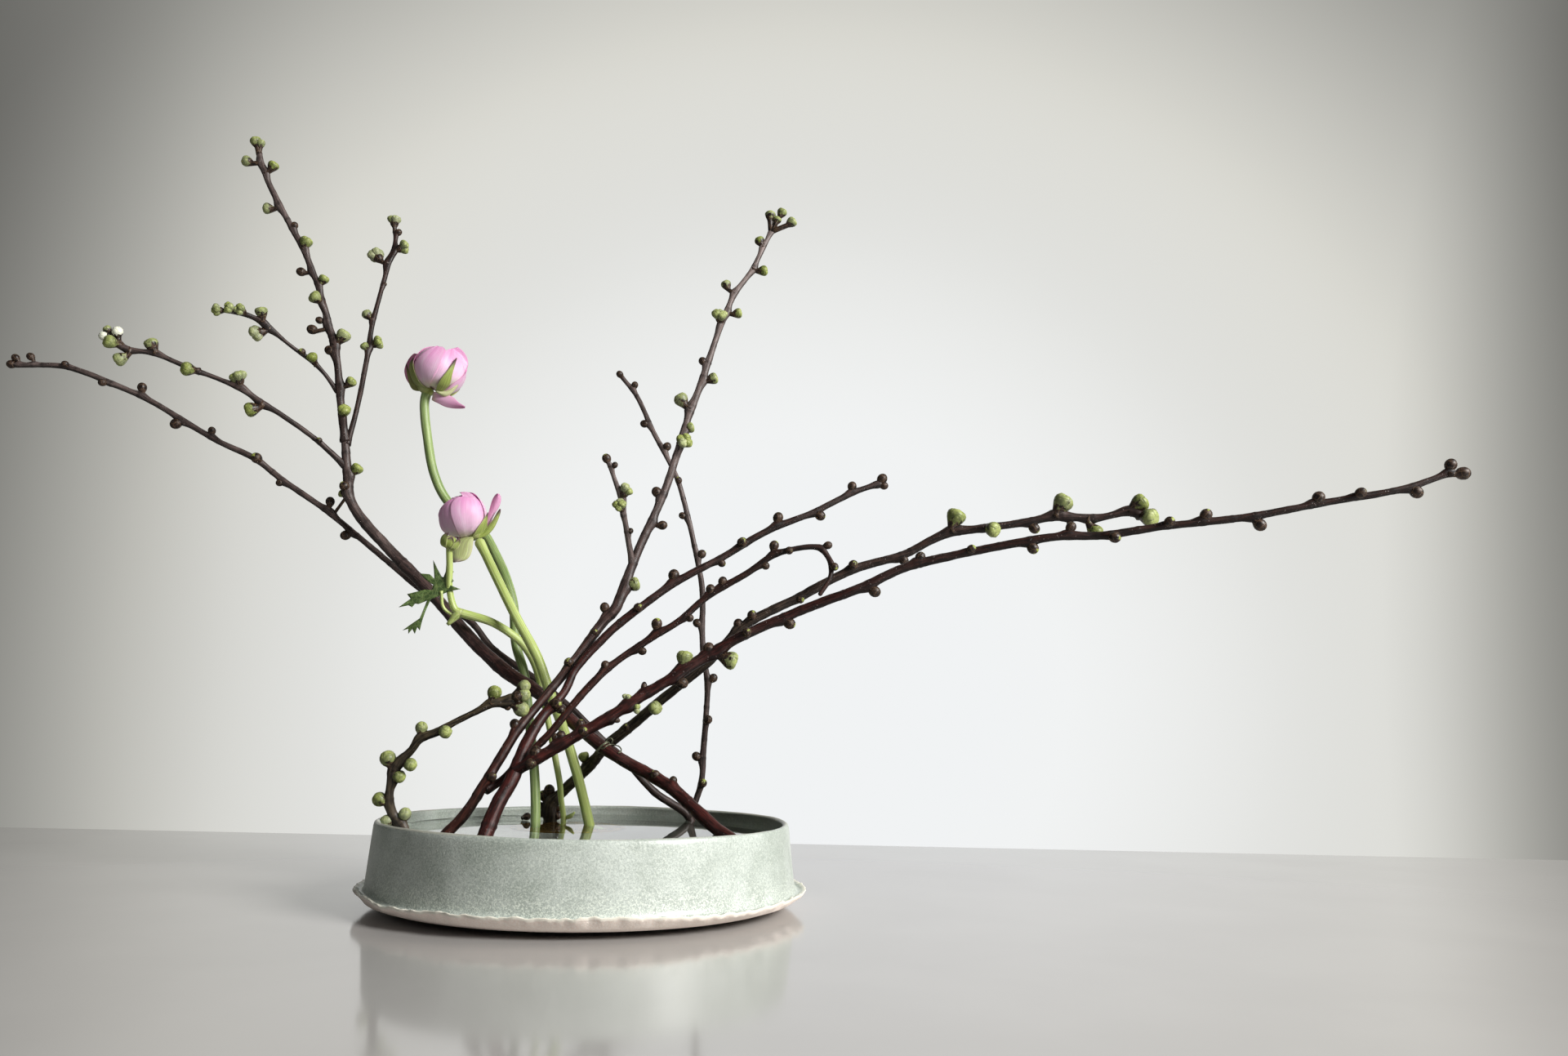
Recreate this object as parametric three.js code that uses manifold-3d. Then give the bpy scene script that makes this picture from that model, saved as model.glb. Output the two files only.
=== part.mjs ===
// An ikebana arrangement: budding branches and two ranunculus in a low round bowl of water.
// Millimetres, +Z up. The origin is the middle of the bowl's flat foot, on the table.
import * as THREE from "three";
import { mergeVertices } from "three/addons/utils/BufferGeometryUtils.js";
import Module from "manifold-3d";

const wasm = await Module();
wasm.setup();

// ---- Driving dimensions ----------------------------------------------------------------------

const GAP = 0.3; // between pieces that touch

const FOOT_RADIUS = 88; // flat disc that the bowl stands on
const FOOT_HEIGHT = 1.6;
const FLANGE_RADIUS = 124.5; // torn edge that flares out round the base
const FLANGE_TIP = 10.4;
const WALL_BASE_RADIUS = 119; // outside of the wall, where it meets the torn edge
const WALL_BASE = 11.5;
const RIM_RADIUS = 115; // outside of the rim
const RIM_HEIGHT = 46.4;
const RIM_THICKNESS = 3.6;
const WALL_THICKNESS = 4.6;
const FLOOR = 8; // top of the bowl's floor
const FLOOR_CORNER = 10; // radius between the floor and the wall, inside
const BOWL_SIDES = 64;
const WATER_LEVEL = 40;

const PIN_HOLDER = new THREE.Vector3(-20, 51, 0); // middle of the pin holder, under the water
const PIN_HOLDER_RADIUS = 35;
const PIN_HOLDER_BASE = 8;
const PIN_HEIGHT = 9;
const PIN_RADIUS = 1.2;
const PIN_SPACING = 10;

const BRANCH_SIDES = 6;
const TWIG_SIDES = 5;
const BUD_SIDES = 4;
const BUD_STRETCH = 1.15; // length of a bud over its width
const BUD_ROOT = 1.3; // how far a bud starts behind its branch's middle line

const WIRE_RADIUS = 0.5;
const TIE = new THREE.Vector3(4.8, 29.5, 85.5);

// The arrangement is composed for one seat in front of the table. Places on a branch are laid
// out as seen from that seat, across and up on the upright plane through the bowl's middle, and
// each is then carried along its line of sight to its own depth, behind (+) or before (-) it.
const SEAT = new THREE.Vector3(108.7, -693.3, 102.5);
const TOWARDS_SEAT = new THREE.Vector3(0, -1, 0);

// ---- Colours ---------------------------------------------------------------------------------

const LOOKS = {
  celadon: { color: 0xbcc4b4, roughness: 0.45, metalness: 0 },
  water: { color: 0xdfe3e2, roughness: 0.05, metalness: 0, transparent: true, opacity: 0.5 },
  brass: { color: 0xa08448, roughness: 0.4, metalness: 1 },
  redBark: { color: 0x4a2c28, roughness: 0.6, metalness: 0 },
  brownBark: { color: 0x3a2a26, roughness: 0.65, metalness: 0 },
  greyBark: { color: 0x5a5052, roughness: 0.65, metalness: 0 },
  wire: { color: 0x5f6150, roughness: 0.4, metalness: 1 },
  stem: { color: 0x93ab4e, roughness: 0.45, metalness: 0 },
  petal: { color: 0xe9b6d8, roughness: 0.55, metalness: 0 },
  dryBud: { color: 0x4a3226, roughness: 0.7, metalness: 0 },
};

// ---- Solids ----------------------------------------------------------------------------------

function solidOf(geometry) {
  const bare = geometry.clone();
  bare.deleteAttribute("normal");
  bare.deleteAttribute("uv");
  const merged = mergeVertices(bare, 1e-4);
  return new wasm.Manifold(
    new wasm.Mesh({
      numProp: 3,
      vertProperties: new Float32Array(merged.attributes.position.array),
      triVerts: new Uint32Array(merged.index.array),
    }),
  );
}

function geometryOf(solid) {
  const mesh = solid.getMesh();
  const geometry = new THREE.BufferGeometry();
  geometry.setAttribute("position", new THREE.BufferAttribute(mesh.vertProperties, 3));
  geometry.setIndex(new THREE.BufferAttribute(mesh.triVerts, 1));
  geometry.computeVertexNormals();
  return geometry;
}

const joined = (solids) => solids.reduce((whole, solid) => whole.add(solid));

// A solid without the loose scraps that a cut can leave.
const SCRAP = 2; // mm³
const mainBody = (solid) => joined(solid.decompose().filter((body) => body.volume() > SCRAP));

const group = new THREE.Group();

// Edges shorter than this are closed up, so that no sliver is left where solids were joined.
const SHORTEST_EDGE = 0.1;

function addPiece(name, solid, look) {
  const tidy = mainBody(solid.asOriginal().simplify(SHORTEST_EDGE));
  const mesh = new THREE.Mesh(geometryOf(tidy), new THREE.MeshStandardMaterial(LOOKS[look]));
  mesh.name = name;
  group.add(mesh);
  return mesh;
}

// ---- Places and tubes ------------------------------------------------------------------------

// A place seen from the seat, at [across, up, depth, radius].
function seen([across, up, depth, radius]) {
  const reach = (depth - SEAT.y) / -SEAT.y;
  const x = SEAT.x + (across - SEAT.x) * reach;
  const z = SEAT.z + (up - SEAT.z) * reach;
  return { at: new THREE.Vector3(x, depth, z), radius };
}

// A place in the part's own frame, at [x, y, z, radius].
const real = ([x, y, z, radius]) => ({ at: new THREE.Vector3(x, y, z), radius });

// A stem or branch through a list of stations: a cylinder bent along a smooth curve.
class Limb {
  constructor(stations, sides = BRANCH_SIDES) {
    this.stations = stations;
    this.sides = sides;
    const places = stations.map((station) => station.at);
    this.curve = new THREE.CatmullRomCurve3(places, false, "centripetal");
  }

  radiusAt(along) {
    const place = along * (this.stations.length - 1);
    const before = Math.min(Math.floor(place), this.stations.length - 2);
    const share = place - before;
    const { radius: thick } = this.stations[before];
    const { radius: thin } = this.stations[before + 1];
    return thick + (thin - thick) * share;
  }

  // The bent cylinder, with its radius grown by `extra` for a hole that it passes through.
  solid(extra = 0, steps = this.stations.length - 1) {
    const tube = new THREE.CylinderGeometry(1, 1, 1, this.sides, steps);
    const vertices = tube.attributes.position;
    const corner = new THREE.Vector3();
    const side = new THREE.Vector3();
    const front = new THREE.Vector3();
    for (let i = 0; i < vertices.count; i += 1) {
      corner.fromBufferAttribute(vertices, i);
      const along = corner.y + 0.5;
      const heading = this.curve.getTangent(along);
      side.crossVectors(heading, TOWARDS_SEAT).normalize();
      front.crossVectors(side, heading);
      const radius = this.radiusAt(along) + extra;
      const place = this.curve.getPoint(along);
      place.addScaledVector(side, corner.x * radius).addScaledVector(front, corner.z * radius);
      vertices.setXYZ(i, place.x, place.y, place.z);
    }
    return solidOf(tube);
  }

  // The nearest point of the middle line to a place seen from the seat.
  nearest(across, up) {
    let best = null;
    for (let i = 0; i <= 200; i += 1) {
      const point = this.curve.getPoint(i / 200);
      const target = seen([across, up, point.y]).at;
      const distance = point.distanceTo(target);
      if (!best || distance < best.distance) best = { point, target, distance };
    }
    return best;
  }

  // A bud: an egg with a few sides, rooted in the limb and swelling at the place where it is
  // seen. A bud seen on the limb itself stands out towards the seat.
  bud([across, up, size]) {
    const { point, target, distance } = this.nearest(across, up);
    const outward = target.clone().sub(point);
    if (distance < size * 0.8) outward.addScaledVector(TOWARDS_SEAT, size);
    const rise = outward.length();
    const reach = rise + size * BUD_STRETCH;
    const profile = [
      [0, -BUD_ROOT],
      [size, Math.max(rise, 0.4 * reach)],
      [0.62 * size, reach - 0.35 * size],
      [0, reach],
    ].map(([radius, height]) => new THREE.Vector2(radius, height));
    const egg = new THREE.LatheGeometry(profile, BUD_SIDES);
    const upright = new THREE.Vector3(0, 1, 0);
    egg.applyQuaternion(new THREE.Quaternion().setFromUnitVectors(upright, outward.normalize()));
    egg.translate(point.x, point.y, point.z);
    return solidOf(egg);
  }

  // Whether an upright pin at (x, y) stands clear of the limb.
  misses(x, y, bottom, top) {
    for (let i = 0; i <= 60; i += 1) {
      const { x: limbX, y: limbY, z } = this.curve.getPoint(i / 60);
      const near = Math.hypot(limbX - x, limbY - y) < this.radiusAt(i / 60) + PIN_RADIUS + 2 * GAP;
      if (near && z > bottom - 3 && z < top + 3) return false;
    }
    return true;
  }

  // The limb with its buds.
  budding(buds) {
    return joined([this.solid(), ...buds.map((place) => this.bud(place))]);
  }
}

// ---- Bowl, water and pin holder --------------------------------------------------------------

// Lathe a profile of [radius, height] points about the bowl's axis.
function turned(profile, sides = BOWL_SIDES) {
  const points = profile.map(([radius, height]) => new THREE.Vector2(radius, height));
  return new THREE.LatheGeometry(points, sides).rotateX(Math.PI / 2);
}

// The inside of the bowl from the middle of its floor up to a height, set in by a gap.
function insideUpTo(height, gap) {
  const innerRadius = (z) => {
    const share = (z - WALL_BASE) / (RIM_HEIGHT - WALL_BASE);
    const thickness = WALL_THICKNESS + (RIM_THICKNESS - WALL_THICKNESS) * share;
    return WALL_BASE_RADIUS + (RIM_RADIUS - WALL_BASE_RADIUS) * share - thickness;
  };
  const cornerTop = FLOOR + FLOOR_CORNER;
  const corner = [0, 30, 60, 90].map((degrees) => {
    const turn = THREE.MathUtils.degToRad(degrees);
    const reach = FLOOR_CORNER - gap;
    const middle = innerRadius(cornerTop) - FLOOR_CORNER;
    return [middle + reach * Math.sin(turn), cornerTop - reach * Math.cos(turn)];
  });
  return [[0, FLOOR + gap], ...corner, [innerRadius(height) - gap, height]];
}

// The torn edge wanders in and out and up and down; the rim was left a little uneven.
function waver(geometry) {
  const vertices = geometry.attributes.position;
  for (let i = 0; i < vertices.count; i += 1) {
    const [x, y, z] = [vertices.getX(i), vertices.getY(i), vertices.getZ(i)];
    const radius = Math.hypot(x, y);
    const turn = Math.atan2(y, x);
    const tip = THREE.MathUtils.clamp((radius - WALL_BASE_RADIUS) / 4, 0, 1);
    const out = tip * (0.8 * Math.sin(5 * turn + 0.6) + 0.5 * Math.sin(11 * turn + 2));
    const lift = tip * (0.5 * Math.sin(4 * turn + 1) + 0.3 * Math.sin(9 * turn));
    const rim = z > RIM_HEIGHT - 3 ? 0.35 * Math.sin(2 * turn + 0.4) + 0.2 * Math.sin(5 * turn) : 0;
    const grown = radius > 0 ? (radius + out) / radius : 1;
    vertices.setXYZ(i, x * grown, y * grown, z + lift + rim);
  }
  return geometry;
}

function bowl() {
  const outside = [
    [0, 0],
    [FOOT_RADIUS, 0],
    [FOOT_RADIUS, FOOT_HEIGHT],
    [FOOT_RADIUS + 14, FOOT_HEIGHT + 0.9],
    [FOOT_RADIUS + 27, FOOT_HEIGHT + 3.6],
    [FLANGE_RADIUS - 2.2, FLANGE_TIP - 2.8],
    [FLANGE_RADIUS, FLANGE_TIP],
    [FLANGE_RADIUS - 1.6, FLANGE_TIP + 0.1],
    [WALL_BASE_RADIUS + 1.2, WALL_BASE - 2.2],
    [WALL_BASE_RADIUS, WALL_BASE],
    [RIM_RADIUS, RIM_HEIGHT - 1.6],
    [RIM_RADIUS - 0.9, RIM_HEIGHT],
    [RIM_RADIUS - RIM_THICKNESS + 0.9, RIM_HEIGHT],
  ];
  const inside = insideUpTo(RIM_HEIGHT - 1.4, 0).reverse();
  return solidOf(waver(turned([...outside, ...inside])));
}

function cylinderSolid(radius, bottom, top, sides, x = 0, y = 0) {
  const drum = new THREE.CylinderGeometry(radius, radius, top - bottom, sides);
  return solidOf(drum.rotateX(Math.PI / 2).translate(x, y, (top + bottom) / 2));
}

const HOLDER_BOTTOM = FLOOR + GAP;
const HOLDER_TOP = HOLDER_BOTTOM + PIN_HOLDER_BASE;

// The water fills the bowl, round the pin holder and every stem.
function water(stems) {
  const filled = solidOf(turned([...insideUpTo(WATER_LEVEL, GAP), [0, WATER_LEVEL]]));
  const { x, y } = PIN_HOLDER;
  const pinTop = HOLDER_TOP + PIN_HEIGHT + GAP;
  const holder = cylinderSolid(PIN_HOLDER_RADIUS + GAP, 0, pinTop, 24, x, y);
  return stems.reduce((left, stem) => left.subtract(stem.solid(GAP)), filled.subtract(holder));
}

// Pins stand on a square grid, and are left out where a stem is pressed on.
function pinHolder(stems) {
  const { x: middleX, y: middleY } = PIN_HOLDER;
  const base = cylinderSolid(PIN_HOLDER_RADIUS, HOLDER_BOTTOM, HOLDER_TOP, 24, middleX, middleY);
  const pins = [];
  const rows = Math.floor(PIN_HOLDER_RADIUS / PIN_SPACING);
  for (let row = -rows; row <= rows; row += 1) {
    for (let column = -rows; column <= rows; column += 1) {
      const [x, y] = [middleX + column * PIN_SPACING, middleY + row * PIN_SPACING];
      const inside = Math.hypot(x - middleX, y - middleY) < PIN_HOLDER_RADIUS - 2 * PIN_RADIUS;
      const free = stems.every((stem) => stem.misses(x, y, HOLDER_TOP, HOLDER_TOP + PIN_HEIGHT));
      if (!inside || !free) continue;
      const pin = new THREE.ConeGeometry(PIN_RADIUS, PIN_HEIGHT + 1, 4).rotateX(Math.PI / 2);
      pins.push(solidOf(pin.translate(x, y, HOLDER_TOP + (PIN_HEIGHT - 1) / 2)));
    }
  }
  return joined([base, ...pins]);
}

// What lies below a height is cut away, so that a foot stands square on the surface there.
function standingOn(height, solid) {
  const below = new THREE.BoxGeometry(400, 400, 100).translate(0, 0, height - 50);
  return solid.subtract(solidOf(below));
}

// ---- Thin blades: petals, sepals and leaves --------------------------------------------------

const BLADE = 0.8; // thickness

// A closed blade from a grid of places, with its outer face along `outward`. Both faces are
// split into triangles alike.
function blade(placeAt, outwardAt, columns, rows, thickness) {
  const corners = [];
  const index = [];
  const stride = columns + 1;
  const layer = stride * (rows + 1);
  for (const lift of [thickness / 2, -thickness / 2]) {
    for (let row = 0; row <= rows; row += 1) {
      for (let column = 0; column <= columns; column += 1) {
        const [u, v] = [(2 * column) / columns - 1, row / rows];
        corners.push(...placeAt(u, v).addScaledVector(outwardAt(u, v), lift).toArray());
      }
    }
  }
  const quad = (a, b, c, d) => index.push(a, b, c, a, c, d);
  for (let row = 0; row < rows; row += 1) {
    for (let column = 0; column < columns; column += 1) {
      const a = row * stride + column;
      const [b, c, d] = [a + 1, a + stride + 1, a + stride];
      index.push(a, b, c, a, c, d, layer + a, layer + c, layer + b, layer + a, layer + d, layer + c);
    }
  }
  for (let column = 0; column < columns; column += 1) {
    const top = rows * stride + column;
    quad(column + 1, column, layer + column, layer + column + 1);
    quad(top, top + 1, layer + top + 1, layer + top);
  }
  for (let row = 0; row < rows; row += 1) {
    const left = row * stride;
    const right = left + columns;
    quad(left, left + stride, layer + left + stride, layer + left);
    quad(right + stride, right, layer + right, layer + right + stride);
  }
  const geometry = new THREE.BufferGeometry();
  geometry.setAttribute("position", new THREE.Float32BufferAttribute(corners, 3));
  geometry.setIndex(index);
  const solid = solidOf(geometry);
  if (solid.volume() > 0) return solid;
  const flipped = index.slice();
  for (let i = 0; i < flipped.length; i += 3) {
    [flipped[i + 1], flipped[i + 2]] = [flipped[i + 2], flipped[i + 1]];
  }
  geometry.setIndex(flipped);
  return solidOf(geometry);
}

// A leaf or spread petal with its own outline, as seen from the seat, [across, up]; it bends
// away by `bend` mm of depth for each mm of height over its root.
function sheet(outline, depth, bend = 0, thickness = BLADE) {
  const shape = new THREE.Shape(outline.map(([across, up]) => new THREE.Vector2(across, up)));
  const flat = new THREE.ExtrudeGeometry(shape, { depth: thickness, bevelEnabled: false });
  const vertices = flat.attributes.position;
  const root = outline[0][1];
  for (let i = 0; i < vertices.count; i += 1) {
    const up = vertices.getY(i);
    const back = depth + (up - root) * bend - (vertices.getZ(i) - thickness / 2);
    const { at } = seen([vertices.getX(i), up, back]);
    vertices.setXYZ(i, at.x, at.y, at.z);
  }
  return solidOf(flat);
}

// ---- Blooms ----------------------------------------------------------------------------------

// A globe of petals whose axis leans across by `lean` degrees. Directions round it are an
// azimuth, 0 towards the seat and 90 to the right, and a climb, 0 at the stem and 180 at the top.
class Bloom {
  constructor({ middle, radius, height, lean }) {
    const reach = (middle[2] - SEAT.y) / -SEAT.y;
    this.middle = seen([...middle, 0]).at;
    this.radius = radius * reach;
    this.height = height * reach;
    const turn = THREE.MathUtils.degToRad(lean);
    this.axis = new THREE.Vector3(Math.sin(turn), 0, Math.cos(turn));
    this.right = new THREE.Vector3().crossVectors(this.axis, TOWARDS_SEAT);
  }

  outward(azimuth, climb) {
    const [round, rise] = [azimuth, climb].map(THREE.MathUtils.degToRad);
    const level = TOWARDS_SEAT.clone().multiplyScalar(Math.cos(round));
    level.addScaledVector(this.right, Math.sin(round)).multiplyScalar(Math.sin(rise));
    return level.addScaledVector(this.axis, -Math.cos(rise));
  }

  // A place on the globe, lifted off it.
  place(azimuth, climb, lift) {
    const direction = this.outward(azimuth, climb);
    const along = direction.dot(this.axis);
    const spread = direction.clone().addScaledVector(this.axis, -along);
    const place = this.middle.clone().addScaledVector(spread, this.radius + lift);
    return place.addScaledVector(this.axis, along * (this.height + lift));
  }

  // A petal or sepal lying on the globe, `spread` degrees to each side of its azimuth; its tip
  // stands off by `flare` more, and its root is sunk in by `sunk`.
  petal({ azimuth, spread, from, to, lift, flare = 0, blunt = 0.55, sunk = 0 }, extra = 0) {
    const climbAt = (v) => from + (to - from) * v;
    const widthAt = (v) => 0.45 + 0.55 * Math.sin(Math.PI * Math.min(v * 0.8 + 0.1, 1)) - (1 - blunt) * v ** 3;
    const azimuthAt = (u, v) => azimuth + u * (spread + extra * 4) * widthAt(v);
    const liftAt = (v) => lift + flare * v ** 3 - sunk * Math.max(0, 1 - 3 * v);
    return blade(
      (u, v) => this.place(azimuthAt(u, v), climbAt(v), liftAt(v)),
      (u, v) => this.outward(azimuthAt(u, v), climbAt(v)),
      4,
      3,
      BLADE + 2 * extra,
    );
  }

  // The smaller heart that the petals close round.
  heart(inset) {
    const profile = [0, 45, 80, 115, 150, 180].map((climb) => {
      const turn = THREE.MathUtils.degToRad(climb);
      const radius = (this.radius - inset) * Math.sin(turn);
      return new THREE.Vector2(Math.abs(radius), -(this.height - inset) * Math.cos(turn));
    });
    const globe = new THREE.LatheGeometry(profile, 9);
    const upright = new THREE.Vector3(0, 1, 0);
    globe.applyQuaternion(new THREE.Quaternion().setFromUnitVectors(upright, this.axis));
    return solidOf(globe.translate(this.middle.x, this.middle.y, this.middle.z));
  }
}

function egg(middle, width, height, sides, axis = new THREE.Vector3(0, 0, 1)) {
  const profile = [0, 50, 90, 130, 180].map((climb) => {
    const turn = THREE.MathUtils.degToRad(climb);
    return new THREE.Vector2(Math.abs(width * Math.sin(turn)), -height * Math.cos(turn));
  });
  const globe = new THREE.LatheGeometry(profile, sides);
  const upright = new THREE.Vector3(0, 1, 0);
  globe.applyQuaternion(new THREE.Quaternion().setFromUnitVectors(upright, axis));
  return solidOf(globe.translate(middle.x, middle.y, middle.z));
}

// ---- Branches --------------------------------------------------------------------------------
// Stations are [across, up, depth, radius], from the foot to the tip. Feet in the water are
// given where they really stand. Buds are [across, up, size].

const limb = (feet, stations, sides) => new Limb([...feet.map(real), ...stations.map(seen)], sides);

// The thick branch on the left and its four side branches.
const leftBranch = limb(
  [[93, -23, 6, 4.3], [90.5, -20, 22, 4.2]],
  [
    [85, 34, -17, 4.2], [74.5, 42, -10, 4.1], [62, 52.3, -2, 4], [49, 63.6, 6, 4],
    [35.6, 71.5, 14, 3.9], [22, 78.2, 20, 3.9], [8.5, 85.9, 24.7, 3.9], [-12.3, 102, 32, 4.3],
    [-30.1, 115.9, 36, 4.6], [-51.6, 129.2, 41, 4.7], [-70.3, 144.7, 45, 4.2],
    [-101.1, 176.8, 49, 4.1], [-130.5, 204.7, 52, 3.7], [-149.8, 227.1, 52, 3.4],
    [-154.1, 246, 51, 3.2], [-157.1, 265, 50, 2.7],
  ],
);
const leftTall = limb([], [
  [-157, 265, 50, 2.9], [-162, 290, 48, 2.6], [-166, 314, 46, 2.5], [-171, 332, 45, 2.4],
  [-181.1, 360.9, 43, 2], [-193.1, 386.9, 40, 2.1], [-202.7, 402.6, 38, 2.1],
  [-221, 435, 34, 1.9], [-227.2, 451.9, 32, 1.6],
]);
const leftInner = limb([], [
  [-155.9, 263, 50, 2.1], [-152.4, 280.9, 56, 1.8], [-148.1, 317, 69, 1.8],
  [-146.6, 337.9, 76, 1.7], [-140.1, 374.7, 88, 1.7], [-136.6, 392.9, 93, 1.5],
  [-137.6, 401.9, 95, 1.5],
], TWIG_SIDES);
const leftLow = limb([], [
  [-154.9, 249.1, 51, 2.2], [-173.8, 265.2, 42, 1.8], [-207, 287, 28, 1.7],
  [-228.2, 298.6, 20, 1.6], [-259.2, 310.5, 10, 1.6], [-276.4, 316.9, 5, 1.5],
  [-297.2, 321.5, 0, 1.4], [-303.2, 325.5, -2, 1.2],
], TWIG_SIDES);
const leftShort = limb([], [
  [-164.1, 295.9, 48, 1.6], [-176.5, 310.5, 42, 1.4], [-198.9, 327.1, 30, 1.3],
  [-209.1, 335.9, 25, 1.4], [-221, 342, 20, 1.2], [-238, 346, 14, 1.1],
], TWIG_SIDES);
const LEFT_BUDS = [
  [-149, 248, 3.6], [-154, 237, 3.2], [-156, 233, 2.4], [38, 72, 2.9], [48, 69, 2.4],
];
const LEFT_TALL_BUDS = [
  [-229, 457, 3.4], [-226, 456, 2.7], [-233, 444, 3.4], [-217, 441, 3.4], [-217, 413, 3.4],
  [-192, 391, 3.9], [-200, 402, 2.4], [-193, 372, 2.9], [-179, 367, 3.2], [-181, 354, 3.9],
  [-183, 335, 3.2], [-179, 341, 2.4], [-164, 331, 4.4], [-171, 322, 3.2], [-157, 302, 3.4],
  [-158, 283, 3.9],
];
const LEFT_INNER_BUDS = [
  [-138, 406, 3.9], [-135, 399, 2.4], [-132, 389, 3.9], [-147, 383, 4.8], [-150, 345, 3.2],
  [-143, 327, 3.9], [-149, 324, 2.7],
];
const LEFT_LOW_BUDS = [
  [-302, 331, 3.2], [-310, 328, 2.9], [-303, 323, 3.9], [-298, 314, 3.9], [-308, 332, 2.4],
  [-280, 323, 3.9], [-254, 307, 4.1], [-225, 303, 4.6], [-215, 284, 4.4],
];
const LEFT_SHORT_BUDS = [
  [-240, 345, 3.4], [-233, 346, 3.6], [-226, 345, 3.6], [-215, 345, 3.6], [-216, 332, 4.8],
  [-187, 320, 2.2], [-180, 316, 3.2],
];

// The long thin branch that runs behind it to the far left, and the upright twig on one foot
// with it.
const backBranch = limb(
  [[58, 80, 6, 3], [56, 84, 22, 3]],
  [
    [58.2, 48.2, 88, 2.9], [37, 62.8, 76, 2.6], [20, 80, 68, 2.5], [7, 90.5, 62, 2.4],
    [-11.9, 108.1, 61, 2.4], [-32.9, 124.1, 62, 2.4], [-60.9, 143.1, 64, 2.2],
    [-74.7, 158.3, 65, 2.2], [-104, 176, 66, 2.2], [-127.8, 194.3, 64, 2.1],
    [-144.6, 207.3, 62, 2], [-167.4, 224.4, 58, 2], [-191.3, 239.6, 54, 2.1],
    [-210.5, 253.3, 50, 2.1], [-234.2, 263.9, 46, 2], [-279.2, 288.8, 38, 1.9],
    [-301.4, 298, 34, 2], [-331.2, 308.1, 28, 1.9], [-361.2, 308.4, 22, 1.6],
  ],
  TWIG_SIDES,
);
const uprightTwig = limb([], [
  [57.8, 49, 88, 2.4], [61.5, 58.5, 86, 2.2], [64.3, 70, 85, 2.1], [64.8, 85, 84, 2.1],
  [65.8, 124, 81, 2], [62.5, 146, 80, 2], [61, 181, 79, 2], [58, 196, 79, 1.9],
  [49.9, 228, 80, 1.9], [43.2, 248.1, 82, 1.8], [29.5, 273.2, 85, 1.8], [17.7, 296.8, 88, 1.7],
  [8, 309, 90, 1.6],
], TWIG_SIDES);
const BACK_BUDS = [
  [-364, 309, 2.7], [-362, 313, 2.4], [-353, 314, 2.4], [-330, 309, 2.2], [-306, 298, 2.4],
  [-283, 296, 2.9], [-260, 274, 3.4], [-238, 270, 2.4], [-208, 253, 3.4], [-194, 239, 2.4],
  [-163, 228, 2.9], [-154, 233, 2.4], [-152, 208, 3.2], [-109, 192, 2.4],
];
const UPRIGHT_BUDS = [
  [7, 310, 2.4], [16, 304, 2.4], [23, 280, 2.7], [37, 266, 2.9], [45, 245, 2.4], [48, 224, 2.4],
  [60, 201, 2.9], [59, 160, 2.9], [66, 146, 2.4], [69, 128, 2.9], [67, 104, 2.9], [61, 83, 2.9],
  [65, 68, 2.9],
];

// The forked branch: a grey upright with a twig, and a thin arm that hooks over at its tip.
const greyUpright = limb(
  [[-86, -48, 6, 3], [-80, -44, 22, 3]],
  [
    [-83.3, 33.2, -38, 3.3], [-71.5, 46.6, -35, 3.1], [-61.5, 63, -33, 3.1],
    [-42.9, 96, -21, 2.9], [-31.1, 111.8, -12, 2.8], [-14.5, 133.6, -2, 3], [3.1, 158.9, 9, 3.2],
    [10.1, 167, 12, 3.5], [15.3, 182.6, 17, 3.3], [23, 204.2, 23, 3], [37, 239.6, 32, 2.7],
    [47.7, 278.8, 40, 2.5], [58.7, 314.1, 48, 2.4], [65.6, 337.8, 53, 2.2], [74.8, 362.6, 58, 2],
    [85.2, 378.9, 62, 1.8], [97.8, 407.1, 68, 1.6],
  ],
);
const greyTwig = limb([], [
  [19.2, 194, 20, 1.9], [15.2, 213, 12, 1.9], [10.3, 234.1, 3, 1.6], [2.6, 255.2, -5, 1.4],
], TWIG_SIDES);
const hookedArm = limb([], [
  [-59.8, 61.7, -33, 2.5], [-51.6, 66.6, -27, 2.4], [-42.6, 75.6, -21, 2.3],
  [-25.8, 92.9, -15, 2.3], [-9.2, 114.3, -10, 2.5], [6.9, 132, -7, 2.3], [34.2, 152.2, -5, 2.2],
  [45.3, 159, -4, 2.1], [64.6, 175.9, -3, 2.1], [89.3, 191.6, -4, 2.1], [99.8, 199.5, -5, 2],
  [108.4, 203.6, -6, 1.9], [128.8, 206.4, -9, 1.8], [135.8, 199.9, -11, 1.7],
  [136.9, 189.5, -13, 1.6], [130.9, 178.8, -15, 1.4],
], TWIG_SIDES);
const GREY_BUDS = [
  [96, 415, 3.4], [103, 417, 3.2], [109, 411, 3.4], [100, 412, 2.9], [90, 398, 3.2],
  [92, 379, 3.4], [70, 369, 3.2], [77, 351, 3.2], [67, 347, 4.8], [57, 320, 2.7],
  [63, 309, 3.6], [45, 295, 4.4], [50, 278, 3.2], [47, 268, 4.8], [32, 238, 3.2],
  [36, 218, 2.9], [20, 182, 4.1], [4, 168, 2.9], [-1, 153, 2.4], [-15, 135, 2.9],
  [-45, 99, 2.9], [-56, 69, 2.7],
];
const GREY_TWIG_BUDS = [[1, 258, 2.7], [13, 238, 4.4], [11, 228, 3.9], [17, 214, 1.9]];
const HOOKED_BUDS = [
  [6, 134, 2.7], [27, 143, 2.4], [35, 159, 3.2], [54, 163, 2.4], [66, 180, 2.9],
  [73, 185, 2.7], [98, 195, 2.4], [103, 207, 2.9], [112, 204, 2.4], [135, 208, 2.4],
  [139, 195, 2.4],
];

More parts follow.
